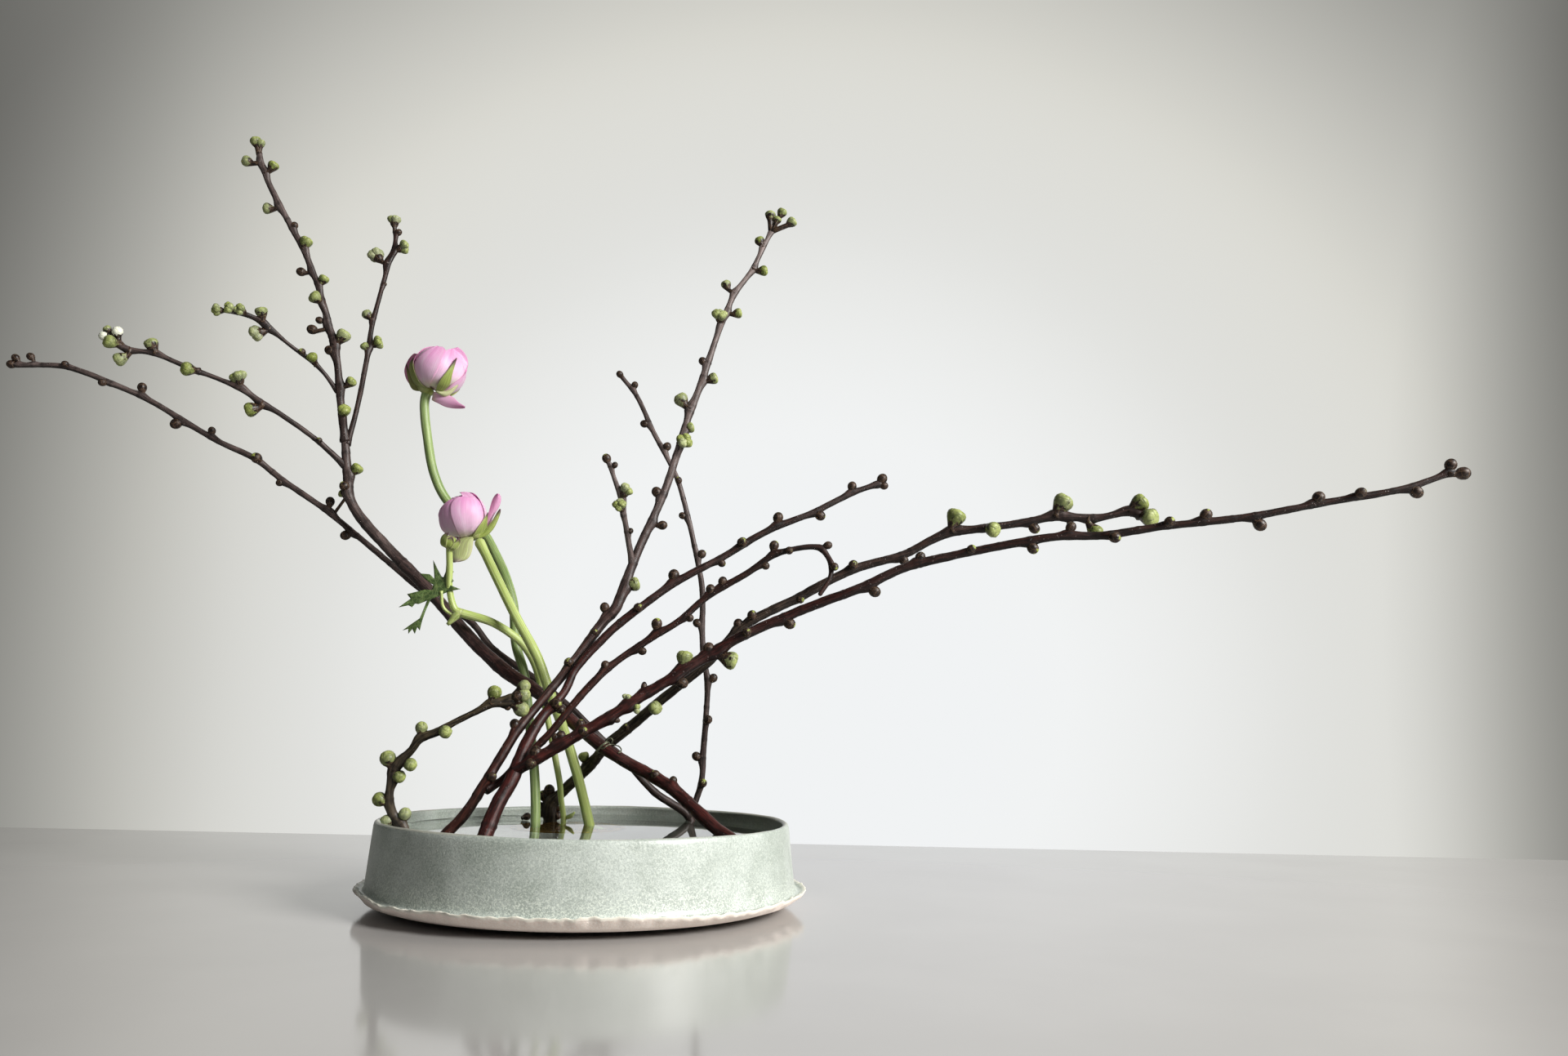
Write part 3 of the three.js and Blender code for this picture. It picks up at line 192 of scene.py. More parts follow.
GREY_BUDS = [
    (96, 415, 3.4), (103, 417, 3.2), (109, 411, 3.4), (100, 412, 2.9), (90, 398, 3.2),
    (92, 379, 3.4), (70, 369, 3.2), (77, 351, 3.2), (67, 347, 4.8, "o"), (57, 320, 2.7, "b"),
    (63, 309, 3.6), (45, 295, 4.4), (50, 278, 3.2), (47, 268, 4.8, "o"), (32, 238, 3.2, "b"),
    (36, 218, 2.9, "b"), (20, 182, 4.1), (4, 168, 2.9, "b"), (-1, 153, 2.4, "b"),
    (-15, 135, 2.9, "b"), (-45, 99, 2.9, "b"), (-56, 69, 2.7, "b"),
]
GREY_TWIG_BUDS = [
    (1, 258, 2.7), (6, 254, 1.9), (13, 238, 4.4, "o"), (11, 228, 3.9, "o"), (17, 214, 1.9),
]
HOOKED_BUDS = [
    (6, 134, 2.7), (27, 143, 2.4), (35, 159, 3.2), (54, 163, 2.4), (66, 180, 2.9),
    (73, 185, 2.7), (98, 195, 2.4), (103, 207, 2.9), (112, 204, 2.4), (135, 208, 2.4),
    (139, 195, 2.4),
]

RED_BRANCH = [
    (-60.5, 30.8, -52, 4.5), (-52.9, 52, -44, 4.3), (-44.4, 69.3, -37, 4.3),
    (-37.5, 88.8, -29, 3.7), (-29.4, 103.7, -21, 3.2), (-17.6, 117.8, -13, 2.6),
    (-12, 130.4, -8, 2.5), (-3.9, 141, -4, 2.6), (10, 156, 1, 2.7), (25.2, 168.8, 5, 2.6),
    (44, 183.1, 10, 2.5), (73.5, 200.1, 17, 2.3), (99.4, 216.2, 22, 2.3), (124.1, 226.8, 27, 2.1),
    (151.4, 241, 33, 2), (166.2, 246.2, 36, 1.9),
]
LONG_ARM = [
    (-44.2, 72.3, -36, 2.8), (-35.2, 77.3, -37, 3.4), (-15.3, 89.5, -36, 3.4),
    (5.4, 101.9, -34, 3.5), (28.9, 117.2, -32, 3.2), (61.2, 138.3, -29, 3.3), (78, 149, -29, 3),
    (117.1, 167.7, -30, 2.9), (157.4, 184.1, -33, 2.8), (180.6, 195.4, -35, 2.8),
    (217.2, 205.2, -39, 2.6), (272.1, 216.2, -45, 2.5), (298, 217.4, -48, 2.5),
    (333, 223.4, -52, 2.3), (382, 229.9, -58, 2.2), (438.1, 241.3, -64, 2.1),
    (480.1, 249.7, -69, 2), (511, 260.7, -72, 1.6),
]
RED_BUDS = [
    (-21, 111, 3.2), (-19, 108, 2.4), (24, 168, 2.9), (44, 188, 3.4), (72, 196, 2.4),
    (84, 208, 3.2), (105, 224, 3.2), (130, 226, 3.2), (149, 244, 2.9), (167, 249, 3.2),
    (168, 245, 2.6),
]
LONG_BUDS = [
    (-32, 83, 3.4), (-34, 77, 3.0), (-18, 93, 2.7), (-21, 92, 2.2), (-7, 100, 2.4), (-5, 96, 2.7),
    (13, 103, 2.7, "s"), (19, 115, 2.4, "o"), (24, 110, 2.9, "o"), (29, 122, 2.9, "s"),
    (52, 139, 4.4, "g"), (66, 145, 3.4), (78, 139, 4.8, "g"), (51, 125, 3.2), (88, 155, 2.9),
    (113, 161, 3.2), (163, 181, 3.2), (190, 202, 2.9), (220, 207, 2.6), (257, 209, 3.2),
    (280, 222, 2.9), (305, 216, 3.2), (338, 226, 2.9), (361, 231, 3.4), (393, 226, 3.4),
    (429, 243, 3.4), (453, 246, 2.9), (488, 248, 3.4), (510, 265, 3.2), (517, 260, 3.6),
]

DARK_BRANCH = [
    (-22.2, 44.9, 60, 3.8), (-21.6, 53.7, 59, 3.6), (-16.4, 60.4, 57, 3.4), (-0.5, 76.4, 43, 3.6),
    (9.3, 88.7, 33, 3.5), (20.3, 97.7, 27, 3.4), (36.1, 111.9, 19, 3.1), (52.2, 125.6, 9, 3),
    (66.2, 137.7, 3, 3), (86.8, 159.4, -1, 2.9), (117.1, 175.8, -2, 2.9), (149.8, 193.7, -2, 2.8),
    (179.9, 203.3, -3, 2.6), (203.7, 215.4, -4, 2.6), (246.1, 223.3, -6, 2.5),
    (271.2, 227.8, -7, 2.4), (298.1, 228.6, -9, 2.2), (314.1, 231.5, -10, 2.3),
    (325, 228.7, -11, 1.8),
]
DARK_BUDS = [
    (-23, 62, 3.4), (-26, 59, 3.2), (-17, 52, 2.9, "s"), (-4, 81, 3.2, "g"), (36, 110, 3.9, "g"),
    (20, 99, 2.4), (83, 160, 2.9), (91, 165, 2.9), (119, 175, 2.4), (150, 196, 2.9),
    (180, 200, 2.9), (211, 226, 5.3, "g"), (232, 219, 4.4, "g"), (258, 221, 3.2),
    (275, 236, 5.6, "g"), (280, 223, 2.4), (294, 220, 4.4, "g"), (321, 237, 5.1, "g"),
    (325, 228, 5.1, "g"), (329, 232, 2.4), (-28, 53.5, 2.3), (-27, 49, 2.2), (-17.5, 48, 2.5),
    (-17, 57, 2.2),
]

ARCHED_TWIG = [
    (-102.8, 35.1, -28, 2.5), (-107.8, 42, -27, 2.3), (-111.7, 47.1, -28, 2.4),
    (-114.6, 61, -32, 2.2), (-110.7, 75.9, -35, 2.3), (-104, 83, -37, 2.3), (-99.6, 89, -38, 2.2),
    (-90.8, 93.6, -38, 2.2), (-70.4, 104.7, -35, 1.9), (-56.8, 111.1, -32, 2.2),
    (-45.7, 113.3, -28, 2),
]
ARCHED_BUDS = [
    (-41, 121, 3.6), (-41, 116, 3.9), (-42, 108, 4.4), (-58, 117, 3.9), (-84, 94, 3.6),
    (-99, 96, 3.4), (-117, 78, 4.4), (-104, 75, 3.6), (-110, 68, 3.6), (-120, 55, 3.9),
    (-105, 47, 3.6), (-115, 43, 3.6), (-44, 115, 2.9, "b"), (-50, 109, 1.9, "b"),
]

# Each branch: its bark, its finish slot, what it stands on, and its limbs as (stations, feet,
# buds, their usual kind, how grey the bark is at foot and tip).
BRANCHES = {
    "branch_left": ("red", "red_bark", HOLDER_BOTTOM, [
        (LEFT_BRANCH, [(93, -23, 6, 4.3), (90.5, -20, 22, 4.2)], LEFT_BUDS, "g", (0, 0.3)),
        (LEFT_TALL, [], LEFT_TALL_BUDS, "g", (0.15, 0.45)),
        (LEFT_INNER, [], LEFT_INNER_BUDS, "g", (0.1, 0.05)),
        (LEFT_LOW, [], LEFT_LOW_BUDS, "g", (0.2, 0.3)),
        (LEFT_SHORT, [], LEFT_SHORT_BUDS, "g", (0.2, 0.15)),
    ]),
    "branch_back": ("brown", "brown_bark", HOLDER_BOTTOM, [
        (BACK_BRANCH, [(58, 80, 6, 3), (56, 84, 22, 3)], BACK_BUDS, "b", (0.1, 0.4)),
        (UPRIGHT_TWIG, [], UPRIGHT_BUDS, "b", (0.25, 0.6)),
    ]),
    "branch_forked": ("grey", "grey_bark", HOLDER_BOTTOM, [
        (GREY_UPRIGHT, [(-86, -48, 6, 3), (-80, -44, 22, 3)], GREY_BUDS, "g", (0, 0.9)),
        (GREY_TWIG, [], GREY_TWIG_BUDS, "b", (0.8, 0.9)),
        (HOOKED_ARM, [], HOOKED_BUDS, "b", (0, 0.05)),
    ]),
    "branch_long": ("red", "red_bark", HOLDER_BOTTOM, [
        (RED_BRANCH, [(-60, -62, 6, 4.1), (-55, -58, 22, 4.1)], RED_BUDS, "b", (0, 0.04)),
        (LONG_ARM, [], LONG_BUDS, "b", (0, 0)),
    ]),
    "branch_dark": ("olive", "brown_bark", HOLDER_TOP + GAP, [
        (DARK_BRANCH, [(-45, 69, 12, 4.3)], DARK_BUDS, "b", (0.1, 0.05)),
    ]),
    "twig_arched": ("olive", "grey_bark", HOLDER_BOTTOM, [
        (ARCHED_TWIG, [(-90, -30, 6, 2.5), (-92, -29, 22, 2.5)], ARCHED_BUDS, "r", (0.1, 0)),
    ]),
}

# ---- Flowers ---------------------------------------------------------------------------------

UPPER_STEM = [
    (-30, 44, 42, 3), (-32, 71, 46, 3), (-37, 103, 50, 2.9), (-41, 128, 52, 2.9),
    (-47, 145, 53, 3), (-50, 169, 55, 3), (-55, 184, 58, 3), (-62, 198, 64, 3),
    (-71, 212, 67.5, 3), (-93, 230, 66.5, 3), (-102, 246, 63.5, 3), (-108, 270, 60, 3),
    (-111, 290, 60, 3), (-110, 297, 60, 3.3),
]
LOWER_STEM = [
    (1, 43, 39, 3.1), (-8, 73, 34, 3.1), (-18, 100, 26, 3.1), (-27, 121, 22.5, 3.1),
    (-34, 138, 23, 3), (-46, 158, 27, 3), (-61, 185, 35, 2.9), (-68, 198, 41, 2.9),
    (-72, 205, 44, 3.3),
]
SIDE_STEM = [
    (-14, 45, 52, 1.7), (-16, 57, 49, 1.8), (-17.2, 66, 48, 1.9), (-20, 78, 50, 2),
    (-26, 102, 52, 2), (-35, 133, 48, 2.3), (-41, 143, 45, 2.4), (-47, 149, 42, 2.5),
    (-62, 158, 37, 2.5), (-80, 163, 34, 2.8),
]
BUD_STEM = [
    (-80, 163, 34, 2.6), (-84, 165, 33, 2.2), (-88, 176, 31, 2), (-89, 190, 28, 2),
    (-90, 202, 24, 2),
]
SHEATH = [(-88, 156, 34, 1), (-82, 163, 34, 3.2)]
LEAF_STALK = [(-93, 176, 29, 1), (-91, 166, 32, 1), (-84, 161, 34, 1.1)]
WATER_SPRIG = [(-13, 47, 53, 0.9), (-10, 48, 50, 1.4), (-8, 50, 49, 0.6)]
DULL_STEM = "flower_stem_upper"
STEMS = {
    "flower_stem_upper": [(UPPER_STEM, [(-38, 40, 12, 3)])],
    "flower_stem_lower": [(LOWER_STEM, [(2, 41, 12, 3.1)])],
    "leafy_stem": [
        (SIDE_STEM, [(-27, 54, 12, 1.6)]), (BUD_STEM, []), (SHEATH, []), (LEAF_STALK, []),
        (WATER_SPRIG, []),
    ],
}

LEAF = [
    (-96, 172), (-101.4, 169.7), (-106, 167.8), (-108, 168.1), (-109.6, 165.9), (-111.8, 167),
    (-117.3, 165.7), (-110.7, 170.9), (-113, 173.6), (-107.3, 175.2), (-102.6, 176.4),
    (-98.5, 176.2), (-98, 179.4), (-102.3, 182), (-106.3, 186), (-100.6, 185.7), (-97.5, 183),
    (-98, 187), (-99, 194), (-96, 188.7), (-93.3, 184.4), (-92.2, 184), (-91.1, 187.4),
    (-91.2, 197), (-88.3, 189.9), (-86.4, 187.5), (-88, 184.5), (-86, 182.1), (-88.6, 179.6),
    (-81.7, 177.2), (-88.3, 175.8), (-92.1, 174),
]
HANGING_LEAFLET = [
    (-100.5, 171.5), (-102, 167), (-104.5, 159.5), (-110.5, 155), (-114.1, 152.1),
    (-110.8, 153.1), (-110.6, 150.2), (-108.4, 153.1), (-106.8, 150.3), (-105.6, 154.2),
    (-104, 152.3), (-103, 158.1), (-101.5, 163.5), (-98.8, 171),
]

# The blooms are two globes of petals: middle as seen, radius across the axis, height along it and
# the lean of the axis in degrees.
UPPER_GLOBE = ((-103.5, 310.5, 60), 16, 14.2, 33)
LOWER_GLOBE = ((-83, 221, 46), 13.6, 14, -38)

# Petals and sepals on the near side are drawn by their two edges from root to tip, (across, up).
UPPER_NEAR_LEFT = (
    [(-111.1, 299.5), (-113.2, 301.7), (-115.7, 306), (-117.6, 311.2), (-117.5, 315.8),
     (-114.5, 319.8), (-110.6, 322.8), (-105.7, 325.1)],
    [(-108.6, 299.5), (-107.9, 303.1), (-106.2, 307.1), (-104.4, 311.1), (-103.1, 314.5),
     (-101.9, 318.5), (-100.6, 322.3), (-103, 324.6)],
)
UPPER_NEAR_RIGHT = (
    [(-109.3, 300.3), (-109.5, 303), (-108.7, 307.1), (-107.2, 311.3), (-105.5, 315.5),
     (-103.5, 319.5), (-101.1, 322.6), (-97.4, 323.9)],
    [(-97.8, 298.9), (-93.9, 302.4), (-90.2, 306.6), (-87.6, 310.6), (-86.6, 314.9),
     (-87.6, 318.9), (-90.3, 322.7), (-93.7, 325.2)],
)
UPPER_LEFT_SEPAL = (
    [(-111.5, 298.8), (-116.8, 300.3), (-121, 304.4), (-122.8, 309.4), (-122.5, 312.8),
     (-120.9, 316.6), (-119, 318.9), (-117.3, 320)],
    [(-110, 299.2), (-112.8, 301.2), (-115.6, 304.8), (-117.4, 309.5), (-117.7, 312.8),
     (-117.6, 315.8), (-116.8, 318.2), (-115.2, 319.9)],
)
UPPER_LEFT_GREEN = (
    [(-110.6, 299), (-113.8, 300.6), (-116.4, 303.4), (-118.4, 306.8), (-119.6, 310.2),
     (-119.9, 313.2), (-119.2, 315.6), (-117.8, 317.6)],
    [(-109.2, 299.6), (-111.4, 301.6), (-113.8, 304.6), (-115.8, 308), (-117, 311),
     (-117.6, 313.6), (-117.7, 315.8), (-117.4, 317.5)],
)
UPPER_LEFT_CURL = (
    [(-113.6, 297), (-116.4, 297.6), (-118.8, 299.4), (-120.4, 302.2), (-121.4, 305.4),
     (-122.2, 308.6), (-122.8, 311.8), (-123.2, 314.6)],
    [(-111.4, 299), (-113.8, 300), (-115.8, 301.8), (-117.6, 304.2), (-119.2, 307),
     (-120.6, 309.6), (-121.8, 312.2), (-122.8, 314.5)],
)
UPPER_FRONT_SEPAL = (
    [(-104.6, 297.8), (-104.4, 300.3), (-103.8, 302.9), (-102.3, 305.9), (-100, 309.3),
     (-98.4, 311.5), (-97.2, 313.9), (-94.8, 317.9)],
    [(-101.2, 297.2), (-98.6, 300.1), (-96.6, 303.6), (-96.2, 306.8), (-96, 309.4),
     (-95.5, 312), (-95, 314.7), (-94.5, 317.7)],
)
UPPER_RIGHT_SEPAL = (
    [(-104.1, 298.6), (-101.7, 297.9), (-98.2, 298.1), (-95.8, 299.9), (-93.6, 302.4),
     (-91.9, 305.4), (-90.8, 307.5), (-90, 308.3)],
    [(-104.6, 297.2), (-102.1, 295.4), (-99.5, 294.3), (-96.3, 295.1), (-93.1, 298.5),
     (-91.1, 302.1), (-90.1, 305.3), (-89.7, 308.2)],
)
UPPER_HANGING = (
    [(-106.2, 296.8), (-105.3, 297.2), (-102.6, 296.9), (-96.8, 295.6), (-92.8, 293.4),
     (-90.7, 291.2), (-88.3, 289.7), (-86.2, 288.5)],
    [(-106.9, 292.2), (-105.3, 291.1), (-103, 290.2), (-98.6, 288), (-93.9, 287.1),
     (-90.9, 287), (-88.1, 287.1), (-86.1, 287.5)],
)
LOWER_NEAR = (
    [(-81.5, 206.6), (-83.9, 208.7), (-86.4, 213), (-88.6, 217.8), (-90.1, 222.1),
     (-90.4, 226.7), (-89, 229.8), (-86, 231.8)],
    [(-76.5, 207.6), (-74.9, 210.2), (-73, 214.2), (-71.9, 218.6), (-71.7, 222.2),
     (-72.8, 225.9), (-74.5, 229.4), (-77.7, 232)],
)
LOWER_LEFT = (
    [(-85.2, 207.6), (-91.5, 209.4), (-95.2, 213.4), (-96.6, 217.7), (-96.9, 221.7),
     (-96.5, 224.5), (-94.5, 227.2), (-91.5, 229.8)],
    [(-80.6, 206.6), (-83.4, 208.8), (-85.4, 213), (-87, 216.5), (-87.9, 220.9),
     (-88.6, 225.8), (-88.6, 228.9), (-87, 231.6)],
)
LOWER_UPRIGHT = (
    [(-72.6, 210.2), (-71.2, 213.5), (-69.4, 218), (-68.3, 222), (-67.3, 226.8),
     (-66.3, 231.2), (-64.8, 234.1), (-63.5, 235.2)],
    [(-70.2, 210), (-68.2, 212.8), (-66.3, 216.8), (-64.9, 221.4), (-62.5, 225.6),
     (-61.1, 229.5), (-61.2, 233.3), (-62.6, 235.1)],
)
LOWER_FRONT_SEPAL = (
    [(-77.3, 207.6), (-77.6, 209.9), (-76.6, 212.2), (-74.9, 215.3), (-73.3, 217.7),
     (-72.1, 219.8), (-71.2, 221.5), (-70.5, 223.2)],
    [(-73.9, 207.2), (-71.5, 209.2), (-70.5, 211.9), (-70.2, 214.6), (-70.4, 216.9),
     (-70.4, 219.1), (-70.3, 220.9), (-70.3, 223.1)],
)
LOWER_RIGHT_SEPAL = (
    [(-74.6, 208.8), (-71.6, 210.6), (-69.2, 213.6), (-67.3, 216.4), (-65.4, 218.8),
     (-64.1, 221.3), (-62.9, 223.6), (-61.3, 225.9)],
    [(-73.8, 207.2), (-70, 208.6), (-66.9, 210.5), (-64.4, 213.6), (-62.8, 217.2),
     (-61.7, 220.4), (-61, 223.1), (-60.9, 225.8)],
)
LOWER_HANGING_SEPAL = (
    [(-79.6, 208.6), (-84.5, 207.6), (-87.6, 205.4), (-88.6, 202.6), (-88.3, 199.8),
     (-87.8, 197.2), (-87.7, 194.6), (-87, 192.8)],
    [(-75.8, 208.6), (-75.9, 206.6), (-76, 203.6), (-76.3, 200.6), (-77.2, 197.4),
     (-78.8, 195.2), (-80.9, 194.1), (-84.4, 193.4)],
)

# Petals all round a globe: azimuth (0 towards the seat, 90 to the right), half spread, climb of
# root and tip (0 at the stem, 180 at the top), lift off the globe and flare at the tip.
UPPER_ROUND = [
    (60, 48, 22, 150, -0.6, 0.9), (112, 50, 24, 146, 0.0, 1.2), (158, 46, 22, 152, -0.5, 0.9),
    (-150, 48, 24, 148, 0.1, 1.0), (-102, 44, 22, 150, -0.5, 0.8), (-50, 44, 24, 152, -1.0, 0.4),
    (10, 46, 26, 158, -1.5, 0.0), (85, 44, 30, 160, -1.8, 0.2), (175, 44, 30, 160, -1.9, 0.1),
    (-95, 44, 30, 160, -2.0, 0.0),
]
LOWER_ROUND = [
    (66, 46, 26, 150, -0.5, 1.0), (118, 48, 26, 146, 0.1, 1.2), (168, 46, 26, 150, -0.5, 0.9),
    (-142, 46, 26, 148, 0.0, 1.0), (-95, 42, 26, 146, -0.5, 0.8), (-40, 44, 26, 150, -1.1, 0.3),
    (20, 46, 28, 156, -1.5, 0.0), (95, 44, 30, 160, -1.8, 0.2), (-175, 44, 30, 160, -1.9, 0.1),
    (-80, 44, 30, 160, -2.0, 0.0),
]
# Sepals on the far side of the globes, in the same way.
UPPER_FAR_SEPALS = [
    (-100, 24, 12, 84, 1.4, 3.4), (150, 22, 12, 100, 1.3, 1.2), (-155, 22, 12, 96, 1.3, 1.6),
]
LOWER_FAR_SEPALS = [(165, 24, 12, 92, 1.3, 1.4), (-140, 22, 12, 86, 1.3, 1.8)]
# The side bud's globe, and the radius and height of the swollen stem end under each bloom.
SIDE_BUD_GLOBE = ((-89.8, 205, 22), 4.6, 4.6, 20)
SIDE_BUD_PETALS = 6
RECEPTACLES = {"upper": (6.2, 3.6), "lower": (5.6, 3.4)}

# ---- Shaping ---------------------------------------------------------------------------------


def seen(across, up, depth):
    """The place seen at (across, up) from the seat, carried along its line of sight to a depth."""
    reach = (depth - SEAT.y) / -SEAT.y
    return Vector((SEAT.x + (across - SEAT.x) * reach, depth, SEAT.z + (up - SEAT.z) * reach))


def blank():
    """An empty bmesh with the layers that the materials read."""
    bm = bmesh.new()
    bm.loops.layers.uv.new("UVMap")
    bm.verts.layers.float_vector.new("straight")
    for name in ("tone", "mark", "sunny"):
        bm.verts.layers.float.new(name)
    return bm


def layers(bm, *names):
    """The number layers of these names, which every vertex carries for the materials."""
    return [bm.verts.layers.float[name] for name in names]


def shell(bm, columns, rows, place_at, close=False):
    """A grid bent to shape by place_at(u, v, vert), with u across and v along, 0 to 1."""
    grid = bmesh.ops.create_grid(
        bm, x_segments=columns, y_segments=rows, size=0.5, calc_uvs=True
    )
    verts = grid["verts"]
    for vert in verts:
        vert.co = place_at(vert.co.x + 0.5, vert.co.y + 0.5, vert)
    if close:
        bmesh.ops.remove_doubles(bm, verts=verts, dist=0.002)


def lathe(bm, profile, steps):
    """Spins a profile of (radius, height) round the upright axis and closes it."""
    verts = [bm.verts.new((radius, 0, height)) for radius, height in profile]
    edges = [bm.edges.new(pair) for pair in zip(verts, verts[1:])]
    bmesh.ops.spin(
        bm, geom=verts + edges, cent=(0, 0, 0), axis=(0, 0, 1), angle=2 * math.pi, steps=steps,
        use_merge=True,
    )
    bmesh.ops.remove_doubles(bm, verts=bm.verts[:], dist=0.002)


def softened(points, cut):
    """A line of (radius, height) points with its corners cut back twice."""
    for reach in (cut, cut / 3):
        line = [points[0]]
        for before, corner, after in zip(points, points[1:], points[2:]):
            middle = Vector(corner)
            for other in (before, after):
                way = Vector(other) - middle
                length = min(reach, 0.4 * way.length)
                line.append(tuple(middle + way.normalized() * length))
        line.append(points[-1])
        points = line
    return points


def divided(points, spacing):
    """The same line with no step longer than `spacing`."""
    line = [points[0]]
    for start, end in zip(points, points[1:]):
        start, end = Vector(start), Vector(end)
        count = max(1, math.ceil((end - start).length / spacing))
        line += [tuple(start.lerp(end, step / count)) for step in range(1, count + 1)]
    return line


def spline(points, share):
    """A place on a smooth line through evenly spaced flat points."""
    place = min(max(share, 0), 1) * (len(points) - 1)
    index = min(int(place), len(points) - 2)
    t = place - index
    p1, p2 = Vector(points[index]), Vector(points[index + 1])
    p0 = Vector(points[index - 1]) if index else 2 * p1 - p2
    p3 = Vector(points[index + 2]) if index + 2 < len(points) else 2 * p2 - p1
    start, end = (p2 - p0) / 2, (p3 - p1) / 2
    return (
        p1 + start * t + (3 * (p2 - p1) - 2 * start - end) * t**2
        + (2 * (p1 - p2) + start + end) * t**3
    )


class Limb:
    """A branch, stem or wire: a smooth middle line through places, with a radius at each."""

    FINE = 24  # samples between two places

    def __init__(self, places, radii):
        spots, thick = [], []
        last = len(places) - 1
        for i in range(last):
            p1, p2 = places[i], places[i + 1]
            p0 = places[i - 1] if i else 2 * p1 - p2
            p3 = places[i + 2] if i + 2 <= last else 2 * p2 - p1
            d0, d1, d2 = ((b - a).length ** 0.5 for a, b in ((p0, p1), (p1, p2), (p2, p3)))
            start = ((p1 - p0) / d0 - (p2 - p0) / (d0 + d1) + (p2 - p1) / d1) * d1
            end = ((p2 - p1) / d1 - (p3 - p1) / (d1 + d2) + (p3 - p2) / d2) * d1
            square = 3 * (p2 - p1) - 2 * start - end
            cube = 2 * (p1 - p2) + start + end
            for step in range(self.FINE):
                t = step / self.FINE
                spots.append(p1 + start * t + square * t**2 + cube * t**3)
                thick.append(radii[i] + (radii[i + 1] - radii[i]) * t)
        spots.append(places[last])
        thick.append(radii[last])
        self.spots = np.array([tuple(spot) for spot in spots])
        self.thick = np.array(thick)
        steps = np.linalg.norm(np.diff(self.spots, axis=0), axis=1)
        self.marks = np.concatenate(([0], np.cumsum(steps)))
        self.length = float(self.marks[-1])
        ways = np.gradient(self.spots, self.marks, axis=0)
        self.ways = ways / np.linalg.norm(ways, axis=1)[:, None]

    def at(self, distance):
        """Place, heading and radius at a distance from the foot, or straight on past an end."""
        here = min(max(distance, 0), self.length)
        place = Vector([np.interp(here, self.marks, self.spots[:, k]) for k in range(3)])
        heading = Vector([np.interp(here, self.marks, self.ways[:, k]) for k in range(3)])
        heading.normalize()
        radius = float(np.interp(here, self.marks, self.thick))
        return place + heading * (distance - here), heading, radius

    def nearest(self, across, up):
        """How far along the limb passes nearest to a place seen at (across, up), and that place."""
        reach = (self.spots[:, 1] - SEAT.y) / -SEAT.y
        targets = self.spots.copy()
        targets[:, 0] = SEAT.x + (across - SEAT.x) * reach
        targets[:, 2] = SEAT.z + (up - SEAT.z) * reach
        best = int(np.argmin(np.linalg.norm(targets - self.spots, axis=1)))
        return float(self.marks[best]), Vector(self.spots[best]), Vector(targets[best])

    def clearance(self, x, y, low, high):
        """How far an upright pin at (x, y) stands from the limb's side between two heights."""
        inside = (self.spots[:, 2] > low) & (self.spots[:, 2] < high)
        if not inside.any():
            return math.inf
        near = np.hypot(self.spots[inside, 0] - x, self.spots[inside, 1] - y)
        return float((near - self.thick[inside]).min())


def limb(stations, feet=()):
    places = [Vector(foot[:3]) for foot in feet] + [seen(*station[:3]) for station in stations]
    return Limb(places, [station[3] for station in (*feet, *stations)])


def sweep(
    bm, limb_here, sides, step, buds=(), scars=(), seed=0, waver=0.04, collar=0.3, tones=(0, 1),
    slim=1.0,
):
    """Sweeps a round skin along a limb. It swells below each bud and is ringed at each scar."""
    straight = bm.verts.layers.float_vector["straight"]
    tone, mark, sunny = layers(bm, "tone", "mark", "sunny")
    length = limb_here.length
    tip = limb_here.at(length)[2]
    count = max(2, round(length / step))
    rings = [(0, 0)] + [(length * i / count, 1) for i in range(count + 1)]
    rings += [(length + 0.45 * tip, 0.86), (length + 0.75 * tip, 0.5), (length + 0.85 * tip, 0)]
    rows = len(rings) - 1
    frames = []
    for distance, share in rings:
        place, heading, radius = limb_here.at(distance)
        side = heading.cross(TOWARDS_SEAT).normalized()
        near = [bud for bud in buds if abs(bud.along - distance) < 3 * bud.size]
        ring = max((math.exp(-(((distance - scar) / 0.8) ** 2)) for scar in scars), default=0)
        frames.append((place, side, side.cross(heading), radius, near, ring))

    def place_at(u, v, vert):
        row = round(v * rows)
        distance, share = rings[row]
        place, side, front, radius, near, ring = frames[row]
        turn = 2 * math.pi * round(u * sides) / sides
        cosine, sine = math.cos(turn), math.sin(turn)
        way = side * cosine + front * sine
        drift = Vector((cosine * 0.7, sine * 0.7, distance * 0.09 + seed * 7.3))
        rough = Vector((cosine * 1.6, sine * 1.6, distance * 0.5 + seed * 3.1))
        reach = radius * (slim + waver * (noise.noise(drift) + 0.5 * noise.noise(rough)))
        reach += radius * (0.07 * ring + collar * math.exp(-((distance / 4.5) ** 2)))
        for bud in near:
            facing = max(0, way.dot(bud.outward)) ** 2
            back = (distance - bud.along + 0.7 * bud.size) / (1.25 * bud.size)
            reach += 0.5 * bud.size * facing * math.exp(-(back**2))
        vert[straight] = (cosine * radius, sine * radius, distance + 100 * seed)
        along = min(max(distance / length, 0), 1)
        vert[tone] = tones[0] + (tones[1] - tones[0]) * along**3 * (4 - 3 * along)
        vert[mark] = ring
        # Painted shade: how far this side of the bark faces the light; the bark is painted darker
        # where it faces away.
        vert[sunny] = 0.5 + 0.5 * way.dot(PAINTED_LIGHT_WAY)
        return place + way * (reach * share)

    shell(bm, sides, rows, place_at, close=True)


